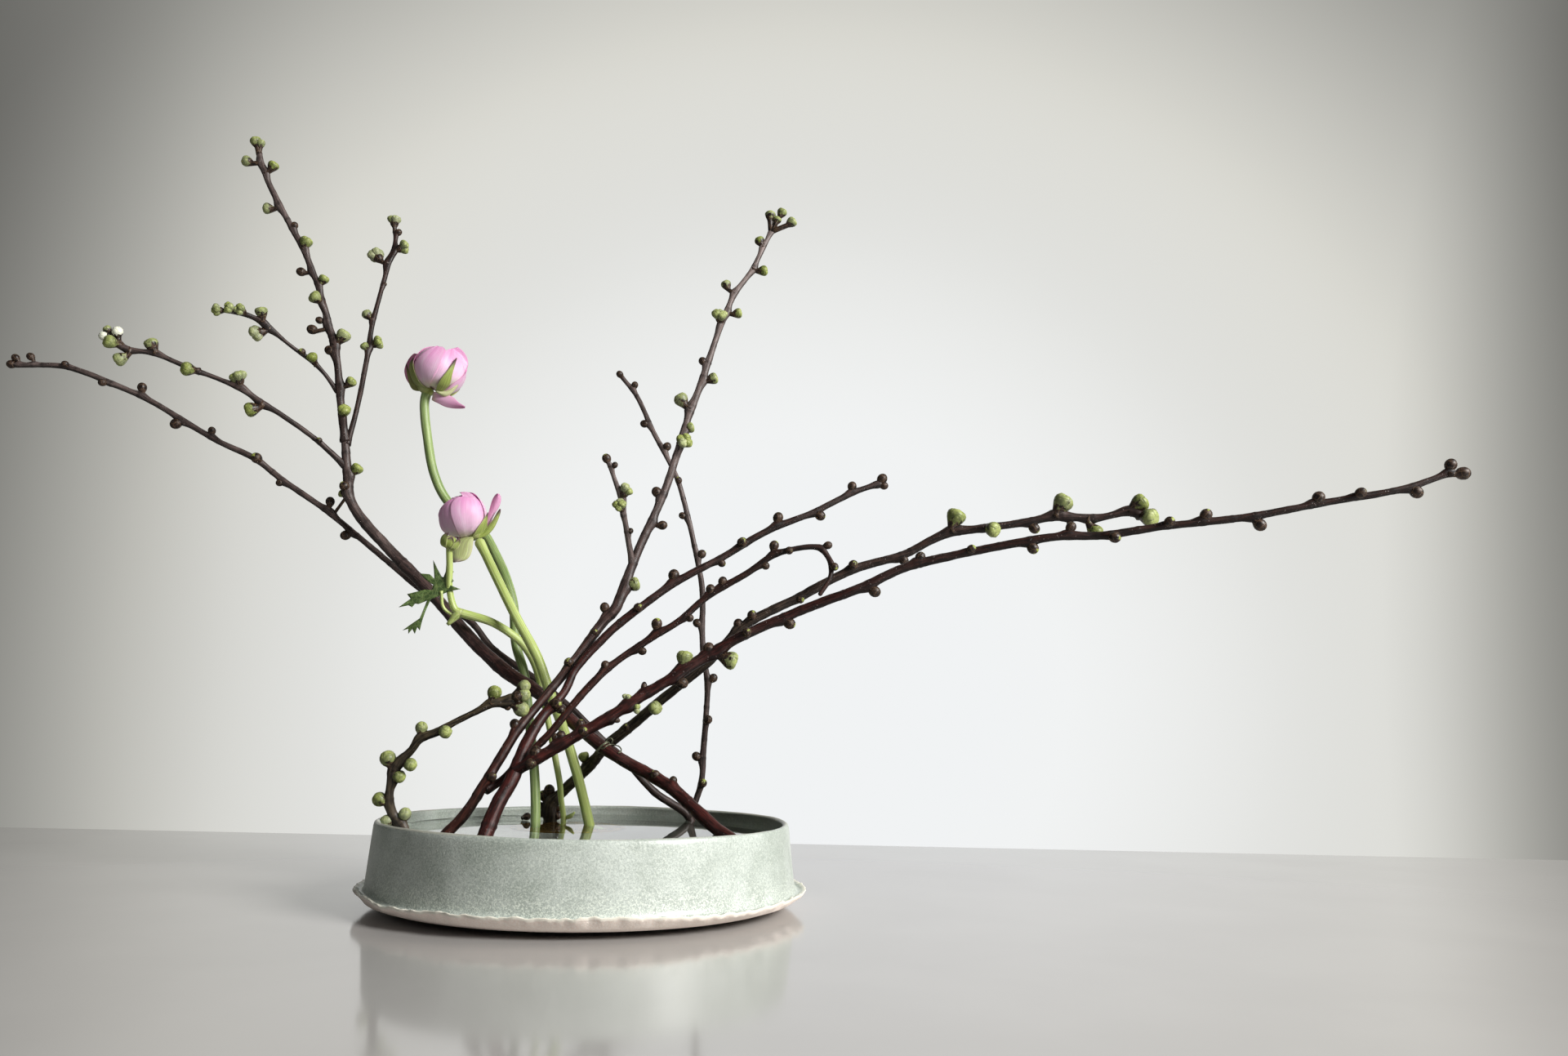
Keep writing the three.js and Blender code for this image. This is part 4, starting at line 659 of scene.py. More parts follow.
class Bud:
    """A bud's place on its limb: how far along it sits, its middle, size and which way it leans."""

    def __init__(self, limb_here, across, up, size, kind):
        self.along, point, target = limb_here.nearest(across, up)
        outward = target - point
        if outward.length < 0.8 * size:
            outward += TOWARDS_SEAT * size
        self.middle = point + outward
        self.outward = outward.normalized()
        self.size = size
        self.kind = kind
        heading = limb_here.at(self.along)[1]
        self.root = limb_here.at(max(0, self.along - 0.9 * size))[0]
        self.axis = (self.outward * 0.75 + heading * 0.6).normalized()


# Rings of a bud: how far along its axis from the middle and how wide, in bud sizes. A cupped bud
# flares from its stub to a blunt top, a round one is a ball on a short neck.
CUPPED = [
    (-0.95, 0.5), (-0.6, 0.68), (-0.2, 0.9), (0.2, 1.03), (0.55, 1.0), (0.82, 0.78), (0.94, 0.42),
    (0.9, 0),
]
ROUND = [
    (-0.9, 0.52), (-0.6, 0.8), (-0.2, 0.98), (0.2, 1.0), (0.56, 0.86), (0.86, 0.58), (1.0, 0.28),
    (1.02, 0),
]
BUD_SIDES = 12


def bud_ball(
    bm, root, middle, axis, size, ripe, pale, turned, neck=0.5, stretch=1.0, rings=CUPPED,
):
    """A scaly bud on a stub that rises from `root`; ripe is the height where green begins."""
    tone, mark = layers(bm, "tone", "mark")
    side = axis.orthogonal().normalized()
    front = side.cross(axis)
    bottom = middle + axis * (rings[0][0] * size * stretch)
    spots = [(root, 0), (root, neck * size * 1.15), (root.lerp(bottom, 0.6), neck * size)]
    spots += [(middle + axis * (height * size * stretch), wide * size) for height, wide in rings]
    rows = len(spots) - 1

    def place_at(u, v, vert):
        row = round(v * rows)
        place, reach = spots[row]
        turn = 2 * math.pi * round(u * BUD_SIDES) / BUD_SIDES
        lobed = math.cos(4 * turn) * max(0, v - ripe)
        reach *= 1 + 0.1 * lobed
        turn += turned
        vert[tone] = ripe
        vert[mark] = pale
        way = side * math.cos(turn) + front * math.sin(turn)
        return place + way * reach + axis * (0.12 * size * lobed * min(reach / size, 0.5))

    shell(bm, BUD_SIDES, rows, place_at, close=True)


# The kinds of single bud: how ripe and how pale they are, where a pair is a range, their size as
# a share and the rest of their form. Any other kind opens in lobes.
BUD_KINDS = {
    "g": ((0.4, 0.54), (0, 0.15), 1.05, {}),
    "r": ((0.3, 0.42), (0, 0.2), 1, {"rings": ROUND}),
    "b": ((0.8, 1.02), 0, 1, {"rings": ROUND, "stretch": 1.1}),
    "w": (0.35, 1, 1, {"rings": ROUND}),
    "s": (2, 0, 0.62, {"rings": ROUND, "stretch": 1.7, "neck": 0.8}),
}
BUD_LOBES = 4


def add_bud(bm, bud, rand):
    """One bud, or the cluster of lobes of a bud that is opening."""

    def drawn(value):
        return rand.uniform(*value) if isinstance(value, tuple) else value

    turned = rand.uniform(0, 2 * math.pi)
    size, middle, axis, root = bud.size, bud.middle, bud.axis, bud.root
    if bud.kind in BUD_KINDS:
        ripe, pale, share, form = BUD_KINDS[bud.kind]
        bud_ball(bm, root, middle, axis, share * size, drawn(ripe), drawn(pale), turned, **form)
        return
    base = middle - axis * (0.45 * size)
    bud_ball(bm, root, base, axis, size * 0.66, 0.8, 0, turned)
    side = axis.orthogonal().normalized()
    for lobe in range(BUD_LOBES):
        spread = Matrix.Rotation(turned + lobe * 1.6, 3, axis) @ side
        place = middle + spread * (0.46 * size) + axis * (drawn((0, 0.45)) * size)
        lean = (axis + spread * 0.45).normalized()
        bud_ball(
            bm, base, place, lean, size * drawn((0.54, 0.66)), drawn((0.2, 0.4)),
            drawn((0, 0.25)), turned, neck=0.4, stretch=1.2,
        )


class Globe:
    """The globe that a bloom's petals close round, with its axis leaning across."""

    def __init__(self, middle, radius, height, lean):
        reach = (middle[2] - SEAT.y) / -SEAT.y
        self.middle = seen(*middle)
        self.radius = radius * reach
        self.height = height * reach
        turn = math.radians(lean)
        self.axis = Vector((math.sin(turn), 0, math.cos(turn)))
        self.right = self.axis.cross(TOWARDS_SEAT)

    def place(self, azimuth, climb, lift):
        """A place on the globe by direction, lifted off it."""
        turn, rise = math.radians(azimuth), math.radians(climb)
        level = TOWARDS_SEAT * math.cos(turn) + self.right * math.sin(turn)
        spot = self.middle + level * (math.sin(rise) * (self.radius + lift))
        return spot - self.axis * (math.cos(rise) * (self.height + lift))

    def over(self, across, up, lift):
        """The place on the globe's near side that is seen at (across, up), lifted off it."""
        frame_axes = (
            (self.right, self.radius), (TOWARDS_SEAT, self.radius), (self.axis, self.height),
        )
        way = (seen(across, up, 0) - SEAT).normalized()
        start = Vector([(SEAT - self.middle).dot(axis) / size for axis, size in frame_axes])
        ahead = Vector([way.dot(axis) / size for axis, size in frame_axes])
        square = ahead.dot(ahead)
        inside = max(start.dot(ahead) ** 2 - square * (start.dot(start) - 1), 0)
        reach = (-start.dot(ahead) - math.sqrt(inside)) / square
        local = start + ahead * reach
        normal = Vector()
        for part, (axis, size) in zip(local, frame_axes):
            normal += axis * (part / size)
        return SEAT + way * reach + normal.normalized() * lift


# Rows of faces along a drawn petal, and how deep its root is tucked in.
DRAWN_ROWS = 16
ROOT_TUCK = 1.6


def drawn_petal(bm, edges, place_on, tone=0.0, mark=0.0, columns=12):
    """A petal or sepal between two drawn edges; place_on(across, up, u, v) puts it in space."""
    tones, marks = layers(bm, "tone", "mark")

    def place_at(u, v, vert):
        left, right = (spline(edge, v) for edge in edges)
        spot = left.lerp(right, u)
        vert[tones] = tone
        vert[marks] = mark
        return place_on(spot.x, spot.y, u, v)

    shell(bm, columns, DRAWN_ROWS, place_at)


def on_globe(globe, lift, rim=0.0, flare=0.0, crease=0.0):
    """A way to lay a drawn petal on a globe, its edges lifted by `rim` and its tip by `flare`."""

    def place_on(across, up, u, v):
        edge = abs(2 * u - 1)
        off = lift + rim * edge**3 + flare * v**3 - ROOT_TUCK * max(0, 1 - 4 * v)
        off += crease * math.exp(-((edge / 0.25) ** 2)) * math.sin(math.pi * v)
        off += 0.25 * noise.noise(Vector((u * 4, v * 3, across * 0.02))) * v
        return globe.over(across, up, off)

    return place_on


def at_depth(depth, bend=0.0, cup=0.0, curl=0.0):
    """A way to hold a drawn petal at a depth: bent along it, cupped across it and its tip curled."""

    def place_on(across, up, u, v):
        back = depth + bend * v + cup * (2 * u - 1) ** 2 + curl * v**3
        back += 0.3 * noise.noise(Vector((u * 3, v * 3, depth)))
        return seen(across, up, back)

    return place_on


def round_petal(bm, globe, azimuth, spread, start, end, lift, flare, seed, columns=12, rows=14):
    """A broad petal that wraps a globe, with a blunt wavy end."""

    def place_at(u, v, vert):
        side = 2 * u - 1
        width = 0.5 + 0.5 * math.sin(math.pi * min(0.8 * v + 0.12, 1)) - 0.28 * v**3
        ragged = 2.5 * noise.noise(Vector((side * 2.2, seed * 5.1, 0.3)))
        climb = start + (end - start + ragged) * v * (1 - 0.13 * abs(side) ** 2.5 * v)
        off = lift + flare * v**4 + 0.5 * abs(side) ** 3 - 2.2 * max(0, 1 - 3 * v)
        off += 0.35 * noise.noise(Vector((side * 2, v * 2.5, seed * 3.7)))
        return globe.place(azimuth + side * spread * width, climb, off)

    shell(bm, columns, rows, place_at)


def finished(bm, name, material, node, slot, thickness=0.0, petals=False):
    """Turns a bmesh in millimetres into a piece on the body, in metres.

    Petals keep the side that their grids face, and are smoothed once."""
    if not petals:
        bmesh.ops.recalc_face_normals(bm, faces=bm.faces[:])
    bmesh.ops.scale(bm, vec=(MM, MM, MM), verts=bm.verts[:])
    for face in bm.faces:
        face.smooth = True
    piece = placed(bm, name, material)
    if thickness:
        wall = piece.modifiers.new("thickness", "SOLIDIFY")
        wall.thickness = thickness * MM
        wall.offset = 0
    if petals:
        skin = piece.modifiers.new("smooth", "SUBSURF")
        skin.levels = skin.render_levels = 1
    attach(piece, "root")
    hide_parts(node)


def placed(bm, name, material):
    """An object in the scene from a bmesh, which it uses up."""
    mesh = bpy.data.meshes.new(name)
    bm.to_mesh(mesh)
    bm.free()
    mesh.materials.append(material)
    piece = bpy.data.objects.new(name, mesh)
    bpy.context.scene.collection.objects.link(piece)
    return piece


# ---- Materials -------------------------------------------------------------------------------


def tint(code):
    """A colour from its hexadecimal code, as the shaders take it."""
    parts = [int(code[i:i + 2], 16) / 255 for i in (0, 2, 4)]
    return tuple(p / 12.92 if p <= 0.04045 else ((p + 0.055) / 1.055) ** 2.4 for p in parts)


class Nodes:
    """A node tree under construction. Values may be numbers, colours, colour codes or other
    nodes' outputs."""

    def __init__(self, tree):
        self.tree = tree

    def plug(self, socket, value):
        if isinstance(value, bpy.types.NodeSocket):
            self.tree.links.new(value, socket)
        elif value is not None:
            if isinstance(value, str):
                value = tint(value)
            if socket.type == "RGBA" and len(value) == 3:
                value = (*value, 1)
            socket.default_value = value

    def node(self, kind, values=(), **settings):
        made = self.tree.nodes.new("ShaderNode" + kind)
        for key, value in settings.items():
            setattr(made, key, value)
        for key, value in dict(values).items():
            self.plug(made.inputs[key], value)
        return made

    def part(self, vector, axis):
        return self.node("SeparateXYZ", {0: vector}).outputs[axis]

    def mix(self, share, first, second):
        return self.node("Mix", {0: share, 6: first, 7: second}, data_type="RGBA").outputs[2]

    def maths(self, operation, first, second=None, clamp=False):
        values = {0: first, 1: second}
        return self.node("Math", values, operation=operation, use_clamp=clamp).outputs[0]

    def times(self, first, second):
        return self.maths("MULTIPLY", first, second)

    def plus(self, first, second, clamp=False):
        return self.maths("ADD", first, second, clamp)

    def minus(self, first, second):
        return self.maths("SUBTRACT", first, second)


class Finish(Nodes):
    """A material under construction."""

    def __init__(self, name):
        self.material = bpy.data.materials.new(name)
        self.material.use_nodes = True
        super().__init__(self.material.node_tree)
        self.shader = self.tree.nodes["Principled BSDF"]

    def finished(self, **values):
        """Sets or links the shader's own sockets, named with _ for a space."""
        for key, value in values.items():
            self.plug(self.shader.inputs[key.replace("_", " ")], value)
        return self.material

    def attribute(self, name, output="Fac"):
        return self.node("Attribute", attribute_name=name).outputs[output]

    def place(self, scale=(1, 1, 1)):
        """Object coordinates in millimetres."""
        coordinates = self.node("TexCoord").outputs["Object"]
        return self.scaled(coordinates, [1000 * part for part in scale])

    def uv(self, scale=(1, 1, 1)):
        return self.scaled(self.node("UVMap", uv_map="UVMap").outputs[0], scale)

    def scaled(self, vector, scale):
        return self.node("Mapping", {"Vector": vector, "Scale": scale}).outputs[0]

    def noise(self, vector, scale, detail=3.0, roughness=0.5, distortion=0.0):
        values = {
            "Vector": vector, "Scale": scale, "Detail": detail, "Roughness": roughness,
            "Distortion": distortion,
        }
        return self.node("TexNoise", values).outputs[0]

    def cells(self, vector, scale, feature="F1", randomness=1.0, flat=False):
        values = {"Vector": vector, "Scale": scale, "Randomness": randomness}
        settings = {"feature": feature, "voronoi_dimensions": "2D" if flat else "3D"}
        return self.node("TexVoronoi", values, **settings).outputs[0]

    def ramp(self, value, low, high, start=0.0, end=1.0):
        """`start` below low, `end` above high and a smooth change between."""
        values = {"Value": value, "From Min": low, "From Max": high, "To Min": start, "To Max": end}
        return self.node("MapRange", values, interpolation_type="SMOOTHSTEP").outputs[0]

    def across_and_up(self):
        """A petal's own two directions, from its UV map."""
        uv = self.uv()
        return uv, self.part(uv, 0), self.part(uv, 1)

    def to_edges(self, across):
        """0 on a petal's middle line and 1 at both its edges."""
        return self.maths("ABSOLUTE", self.minus(self.times(across, 2), 1))

    def bump(self, height, distance, strength):
        values = {"Height": height, "Distance": distance * MM, "Strength": strength}
        return self.node("Bump", values).outputs[0]


# The bark of a branch's foot gives way to the brown bark of young wood between these heights.
YOUNG_FROM, YOUNG_FULL = 80, 230
# The inner wall is left behind and the top of the rim begins between these radii.
WALL_INSIDE, RIM_INSIDE = 110.6, 112.6


def bark(name, dark, light, sizes):
    """Smooth bark: streaks along it, greyer where it is old, pale pores, a ring at each scar and
    painted shade on the side turned from the light.
    """
    make = Finish(name)
    along = make.attribute("straight", "Vector")
    streaks = make.noise(make.scaled(along, (1, 1, 0.12)), 1.1, 4, 0.6)
    patches = make.noise(make.scaled(along, (0.6, 0.6, 0.35)), 0.11, 3, 0.55, 0.4)
    grain = make.ramp(streaks, 0.36, 0.64)
    patch = make.ramp(patches, 0.45, 0.68)
    low = make.ramp(make.part(make.place(), 2), YOUNG_FROM, YOUNG_FULL, 1, 0)
    upper = make.mix(grain, sizes.brown_dark, sizes.brown_light)
    young = make.mix(low, upper, make.mix(grain, dark, light))
    old = make.mix(grain, [0.4 * part for part in sizes.film], sizes.film)
    age = make.times(make.attribute("tone"), make.plus(make.times(patch, 0.4), 0.75))
    age = make.plus(age, make.times(patch, 0.06), clamp=True)
    colour = make.mix(age, young, old)
    # Painted shade: the side of the bark turned away from the light is darkened towards near black.
    painted_shade = make.ramp(make.attribute("sunny"), 0.25, 0.85, 0.72, 0)
    colour = make.mix(painted_shade, colour, "060404")
    pores = make.cells(make.scaled(along, (1, 1, 1.6)), 0.42)
    pore = make.ramp(pores, 0.1, 0.24, 1, 0)
    thin = make.ramp(make.noise(along, 0.25, 2), 0.45, 0.6)
    pore = make.times(pore, thin)
    colour = make.mix(make.times(pore, 0.3), colour, sizes.film)
    scar = make.attribute("mark")
    colour = make.mix(make.times(scar, 0.6), colour, "120c0a")
    fine = make.noise(make.scaled(along, (1, 1, 0.3)), 3.2, 4, 0.65)
    height = make.plus(make.times(streaks, 0.6), make.times(fine, 0.25))
    height = make.plus(height, make.times(pore, 0.5))
    rough = make.plus(0.3, make.times(fine, 0.25))
    return make.finished(
        Base_Color=colour, Roughness=rough, Specular_IOR_Level=0.3,
        Normal=make.bump(height, 0.35, 0.7),
    )


def bud_scales(colours):
    """Overlapping scales: brown below, green lobes above, cream on an open flower bud, with a
    painted highlight towards the tip and painted shade in the creases between lobes.
    """
    make = Finish("bud scales")
    _, around, climb = make.across_and_up()
    place = make.place()
    drift = make.noise(place, 0.4, 2)
    scales = make.cells(make.uv((5, 4.2, 1)), 1, "DISTANCE_TO_EDGE", 0.6, flat=True)
    rim = make.ramp(scales, 0.02, 0.12, 1, 0)
    # The creases between the four lobes near the bud's top, used for painted shade and sunk in the
    # bump.
    fold = make.maths("FRACT", make.times(around, 4))
    fold = make.maths("ABSOLUTE", make.minus(fold, 0.5))
    fold = make.ramp(make.plus(fold, make.times(drift, 0.1)), 0.06, 0.14, 1, 0)
    fold = make.times(fold, make.ramp(climb, 0.6, 0.82))
    blotch = make.ramp(drift, 0.35, 0.65, -0.25, 0.25)
    # Painted highlight: the green grows lighter towards the bud's tip, as if lit from above, varied
    # by random blotches.
    painted_tip_light = make.plus(make.ramp(climb, 0.45, 0.95), blotch, clamp=True)
    green = make.mix(painted_tip_light, colours.bud_green, colours.bud_light)
    pale = make.times(make.ramp(make.noise(place, 0.6, 1), 0.56, 0.7), 0.35)
    green = make.mix(pale, green, "c3c58c")
    green = make.mix(make.attribute("mark"), green, "e8ead8")
    green = make.mix(make.times(rim, 0.18), green, "34351a")
    # Painted shade: a dark line down each crease between the bud's lobes.
    green = make.mix(make.times(fold, 0.5), green, "2b2a12")
    brown = make.mix(make.ramp(drift, 0.35, 0.7), "170e0a", colours.bud_brown)
    brown = make.mix(make.times(rim, 0.45), brown, "6d5640")
    scallop = make.maths("SINE", make.times(around, 31.4))
    onset = make.minus(climb, make.attribute("tone"))
    onset = make.plus(onset, make.times(scallop, 0.035))
    onset = make.plus(onset, make.times(make.minus(drift, 0.5), 0.7))
    share = make.ramp(onset, -0.02, 0.05)
    height = make.plus(make.times(rim, -0.35), make.times(drift, 0.3))
    height = make.minus(height, make.times(fold, 0.6))
    return make.finished(
        Base_Color=make.mix(share, brown, green), Roughness=make.ramp(drift, 0.3, 0.7, 0.38, 0.52),
        Subsurface_Weight=0.06, Subsurface_Radius=(0.6, 1.0, 0.4), Subsurface_Scale=MM,
        Specular_IOR_Level=0.4, Normal=make.bump(height, 0.3, 0.7),
    )


def stem_skin(name, dark, light):
    """A juicy ribbed stem with a paler bloom on it."""
    make = Finish(name)
    along = make.attribute("straight", "Vector")
    ribs = make.noise(make.scaled(along, (1, 1, 0.02)), 1.3, 3, 0.55)
    drift = make.noise(make.scaled(along, (0.4, 0.4, 0.12)), 0.35, 3)
    colour = make.mix(make.ramp(ribs, 0.35, 0.65), dark, light)
    colour = make.mix(make.times(make.ramp(drift, 0.45, 0.7), 0.25), colour, dark)
    fuzz = make.noise(make.place(), 2.6, 2, 0.6)
    height = make.plus(ribs, make.times(fuzz, 0.15))
    return make.finished(
        Base_Color=colour, Roughness=0.42, Subsurface_Weight=0.22,
        Subsurface_Radius=(0.9, 1.4, 0.3), Subsurface_Scale=1.5 * MM, Sheen_Weight=0.15,
        Normal=make.bump(height, 0.3, 0.6),
    )


def petal_skin(colours):
    """Thin pink petals: green-cream at the root, veined, deeper at the margin."""
    make = Finish("petal")
    uv, across, climb = make.across_and_up()
    veins = make.noise(make.scaled(uv, (26, 1.6, 1)), 1, 3, 0.6, 0.15)
    broad = make.noise(make.scaled(uv, (4, 1.2, 1)), 1, 2)
    colour = make.mix(make.ramp(climb, 0.2, 0.95), colours.petal, colours.petal_deep)
    colour = make.mix(make.times(make.ramp(broad, 0.4, 0.7), 0.35), colour, "f3dcec")
    colour = make.mix(make.ramp(climb, 0.05, 0.34, 0.85, 0), colour, "d9d3b4")
    colour = make.mix(make.times(make.ramp(veins, 0.5, 0.72), 0.22), colour, "b0568c")
    edge = make.to_edges(across)
    rim = make.ramp(make.maths("MAXIMUM", edge, make.ramp(climb, 0.82, 1.02)), 0.88, 1.0, 0, 0.5)
    colour = make.mix(rim, colour, "b8558c")
    colour = make.mix(make.attribute("tone"), colour, "a86f88")
    return make.finished(
        Base_Color=colour, Roughness=0.48, Subsurface_Weight=0.35,
        Subsurface_Radius=(1.4, 0.7, 1.0), Subsurface_Scale=1.6 * MM, Sheen_Weight=0.12,
        Normal=make.bump(veins, 0.25, 0.5),
    )


def sepal_skin(colours):
    """Green sepals: lined along, pale at the thin margin and dusky at the tip."""
    make = Finish("sepal")
    uv, across, climb = make.across_and_up()
    lines = make.noise(make.scaled(uv, (16, 1.2, 1)), 1, 3, 0.6)
    colour = make.mix(make.ramp(lines, 0.35, 0.65), colours.sepal, colours.stem)
    edge = make.to_edges(across)
    colour = make.mix(make.ramp(edge, 0.72, 1.0, 0, 0.4), colour, "c9c39a")
    dusk = make.ramp(make.plus(climb, make.times(lines, 0.2)), 0.78, 1.05)
    colour = make.mix(dusk, colour, "4a2e33")
    colour = make.mix(make.attribute("tone"), colour, "5c4136")
    colour = make.mix(make.attribute("mark"), colour, "e6dccb")
    return make.finished(
        Base_Color=colour, Roughness=0.5, Subsurface_Weight=0.15,
        Subsurface_Radius=(0.8, 1.2, 0.4), Subsurface_Scale=MM, Sheen_Weight=0.12,
        Normal=make.bump(lines, 0.3, 0.6),
    )


def leaf_skin(colours):
    """Dark cut leaves with a net of veins."""
    make = Finish("leaf")
    place = make.place()
    net = make.cells(place, 0.35, "DISTANCE_TO_EDGE")
    vein = make.ramp(net, 0.0, 0.12, 1, 0)
    drift = make.noise(place, 0.3, 4)
    colour = make.mix(make.ramp(drift, 0.35, 0.65), colours.leaf, "5d7440")
    colour = make.mix(make.times(vein, 0.3), colour, "8a9a5c")
    height = make.minus(drift, make.times(vein, 0.5))
    return make.finished(
        Base_Color=colour, Roughness=0.5, Subsurface_Weight=0.1,
        Subsurface_Radius=(0.5, 1.0, 0.3), Subsurface_Scale=MM,
        Normal=make.bump(height, 0.3, 0.6),
    )


def bowl_glaze(sizes):
    """Satin celadon with fine crystals, worn thin at the rim, and painted shade on the inner wall's
    right side; bare clay below the torn edge.
    """
    make = Finish("celadon glaze")
    place = make.place()
    height = make.part(place, 2)
    mottle = make.noise(place, 0.05, 3, 0.5)
    crystals = make.noise(place, 1.15, 2, 0.55, 1.2)
    cloud = make.noise(make.scaled(place, (0.3, 0.3, 1)), 0.1, 3)
    colour = make.mix(make.ramp(mottle, 0.25, 0.75), sizes.glaze, sizes.glaze_light)
    share = make.ramp(crystals, 0.5, 0.6)
    low = make.ramp(make.plus(height, make.times(cloud, 10)), 17, 32, 0.8, 0.35)
    colour = make.mix(make.times(share, low), colour, "e2e8dd")
    dull = make.ramp(crystals, 0.4, 0.48, 0.3, 0)
    colour = make.mix(dull, colour, "7f887d")
    specks = make.ramp(make.cells(place, 0.5), 0.05, 0.16, 1, 0)
    rare = make.ramp(make.noise(place, 0.31, 1), 0.56, 0.6)
    specks = make.times(specks, rare)
    colour = make.mix(make.times(specks, 0.5), colour, "75725f")
    flat = make.scaled(place, (1, 1, 0))
    reach = make.node("VectorMath", {0: flat}, operation="LENGTH").outputs["Value"]
    # Painted shade: the inner wall darkens from left to right, where the main light from the right
    # does not reach it.
    pooled_and_shaded = make.ramp(make.part(place, 0), -110, 90, 0.05, 0.85)
    pooled_and_shaded = make.times(make.ramp(reach, WALL_INSIDE, RIM_INSIDE, 1, 0), pooled_and_shaded)
    colour = make.mix(pooled_and_shaded, colour, "4c4a41")
    rim = make.ramp(make.plus(height, make.times(mottle, 1.6)), 46.3, 47.3)
    colour = make.mix(make.times(rim, 0.55), colour, "9a9280")
    colour = make.mix(make.attribute("tone"), colour, "e9e6d8")
    grain = make.noise(place, 1.1, 5, 0.7)
    clay = make.mix(make.ramp(grain, 0.3, 0.7), sizes.clay, "fff6ee")
    bare = make.attribute("mark")
    peel = make.noise(place, 0.75, 2, 0.5)
    relief = make.plus(make.times(peel, 0.8), make.times(crystals, 0.3))
    rough = make.ramp(crystals, 0.35, 0.7, 0.3, 0.42)
    rough = make.maths("MAXIMUM", rough, make.times(bare, 0.85))
    return make.finished(
        Base_Color=make.mix(bare, colour, clay), Roughness=rough, Specular_IOR_Level=0.5,
        Normal=make.bump(relief, 0.35, 0.55),
    )


def clear_water():
    make = Finish("clear water")
    ripple = make.noise(make.place(), 0.03, 2)
    return make.finished(
        Base_Color=(0.95, 0.98, 0.96), Roughness=0.01, IOR=1.33, Transmission_Weight=1.0,
        Normal=make.bump(ripple, 0.4, 0.12),
    )


def aged_brass():
    make = Finish("aged brass")
    place = make.place()
    tarnish = make.noise(place, 0.2, 5, 0.6)
    colour = make.mix(make.ramp(tarnish, 0.4, 0.7), "b08d4a", "5f5236")
    return make.finished(
        Base_Color=colour, Metallic=1.0, Roughness=make.ramp(tarnish, 0.3, 0.7, 0.3, 0.55),
        Normal=make.bump(make.noise(place, 2.0, 3), 0.1, 0.4),
    )


def tie_wire():
    make = Finish("tie wire")
    place = make.place()
    worn = make.noise(place, 0.8, 4)
    colour = make.mix(make.ramp(worn, 0.4, 0.65), "62654f", "8d8f7a")
    return make.finished(
        Base_Color=colour, Metallic=0.6, Roughness=make.ramp(worn, 0.3, 0.7, 0.35, 0.55),
        Normal=make.bump(worn, 0.1, 0.4),
    )


def table_top(sizes):
    make = Finish("table top")
    place = make.node("TexCoord").outputs["Object"]
    drift = make.noise(place, 9, 3)
    darker = [0.95 * part for part in sizes.floor]
    colour = make.mix(make.ramp(drift, 0.3, 0.7), sizes.floor, darker)
    return make.finished(
        Base_Color=colour, Roughness=make.ramp(drift, 0.3, 0.7, 0.1, 0.13), Metallic=0.12,
        Specular_IOR_Level=0.4,
    )


# How bright the studio is by direction: (x or y of the direction, level).
BACKDROP_ACROSS = (
    (-0.95, 0.06), (-0.6, 0.36), (-0.44, 0.86), (-0.3, 1.02), (0.1, 1.02), (0.38, 1.13),
    (0.48, 0.88), (0.57, 0.4), (0.95, 0.75),
)
BACKDROP_BEHIND = ((-0.4, 0.22), (0.5, 1.0))
# The pool of light on the backdrop: how near a direction is to its middle, and level.
POOL_MIDDLE = Vector((0.02, 1, 0.03))
POOL = ((0.5, 0.4), (0.74, 0.3), (0.85, 0.72), (0.93, 0.87), (1.0, 1.05))
# The backdrop's colour changes from its edge to its middle between these.
POOL_EDGE, POOL_INSIDE = 0.86, 0.99


def studio(sizes):
    """A pale backdrop behind the table that falls off to a dim room on the left and in front."""
    world = bpy.data.worlds.new("studio")
    world.use_nodes = True
    make = Nodes(world.node_tree)
    direction = make.node("TexCoord").outputs["Generated"]

    def band(value, stops):
        position = make.node("MapRange", {"Value": value, "From Min": -1}).outputs[0]
        ramp = make.node("ValToRGB", {0: position})
        ramp.color_ramp.interpolation = "CARDINAL"
        elements = ramp.color_ramp.elements
        while len(elements) < len(stops):
            elements.new(0.5)
        for element, (place, level) in zip(elements, stops):
            element.position = (place + 1) / 2
            element.color = (level, level, level, 1)
        return ramp.outputs[0]

    towards = {0: direction, 1: POOL_MIDDLE.normalized()}
    near = make.node("VectorMath", towards, operation="DOT_PRODUCT").outputs["Value"]
    level = band(make.part(direction, 0), BACKDROP_ACROSS)
    level = make.times(level, band(make.part(direction, 1), BACKDROP_BEHIND))
    level = make.times(level, band(near, POOL))
    limits = {"Value": near, "From Min": POOL_EDGE, "From Max": POOL_INSIDE}
    inside = make.node("MapRange", limits).outputs[0]
    backdrop = make.tree.nodes["Background"]
    make.plug(backdrop.inputs["Color"], make.mix(inside, sizes.backdrop_edge, sizes.backdrop))
    make.plug(backdrop.inputs["Strength"], level)
    return world


# ---- Sizes and colours that a user would change ----------------------------------------------


def shade(name, description, code):
    return bpy.props.FloatVectorProperty(
        name=name, description=description, subtype="COLOR", size=3, min=0, max=1,
        default=tint(code),
    )


def measure(name, description, default, low, high):
    return bpy.props.FloatProperty(
        name=name, description=description, default=default, min=low, max=high, unit="LENGTH",
    )


def factor(name, description, default, low, high):
    return bpy.props.FloatProperty(
        name=name, description=description, default=default, min=low, max=high,
        subtype="FACTOR",
    )


def wattage(name, description, default):
    return bpy.props.FloatProperty(
        name=name, description=description, default=default, min=0, unit="POWER",
    )


class BowlSizes(bpy.types.PropertyGroup):
    ragged: measure("Ragged edge", "How far the torn edge wanders in and out", 0.0009, 0, 0.003)
    rim_height: measure(
        "Rim height", "Height of the rim over the table", RIM_HEIGHT * MM, 0.04, 0.05
    )
    pin_spacing: measure(
        "Pin spacing", "Distance between the pins that hold the stems", 0.0032, 0.0025, 0.01
    )
    glaze: shade("Glaze", "Celadon glaze where it lies thick", "a5aea6")
    glaze_light: shade("Pale glaze", "Celadon glaze where it lies thin", "c2cac4")
    clay: shade("Clay", "Bare clay under the torn edge", "f7e6da")


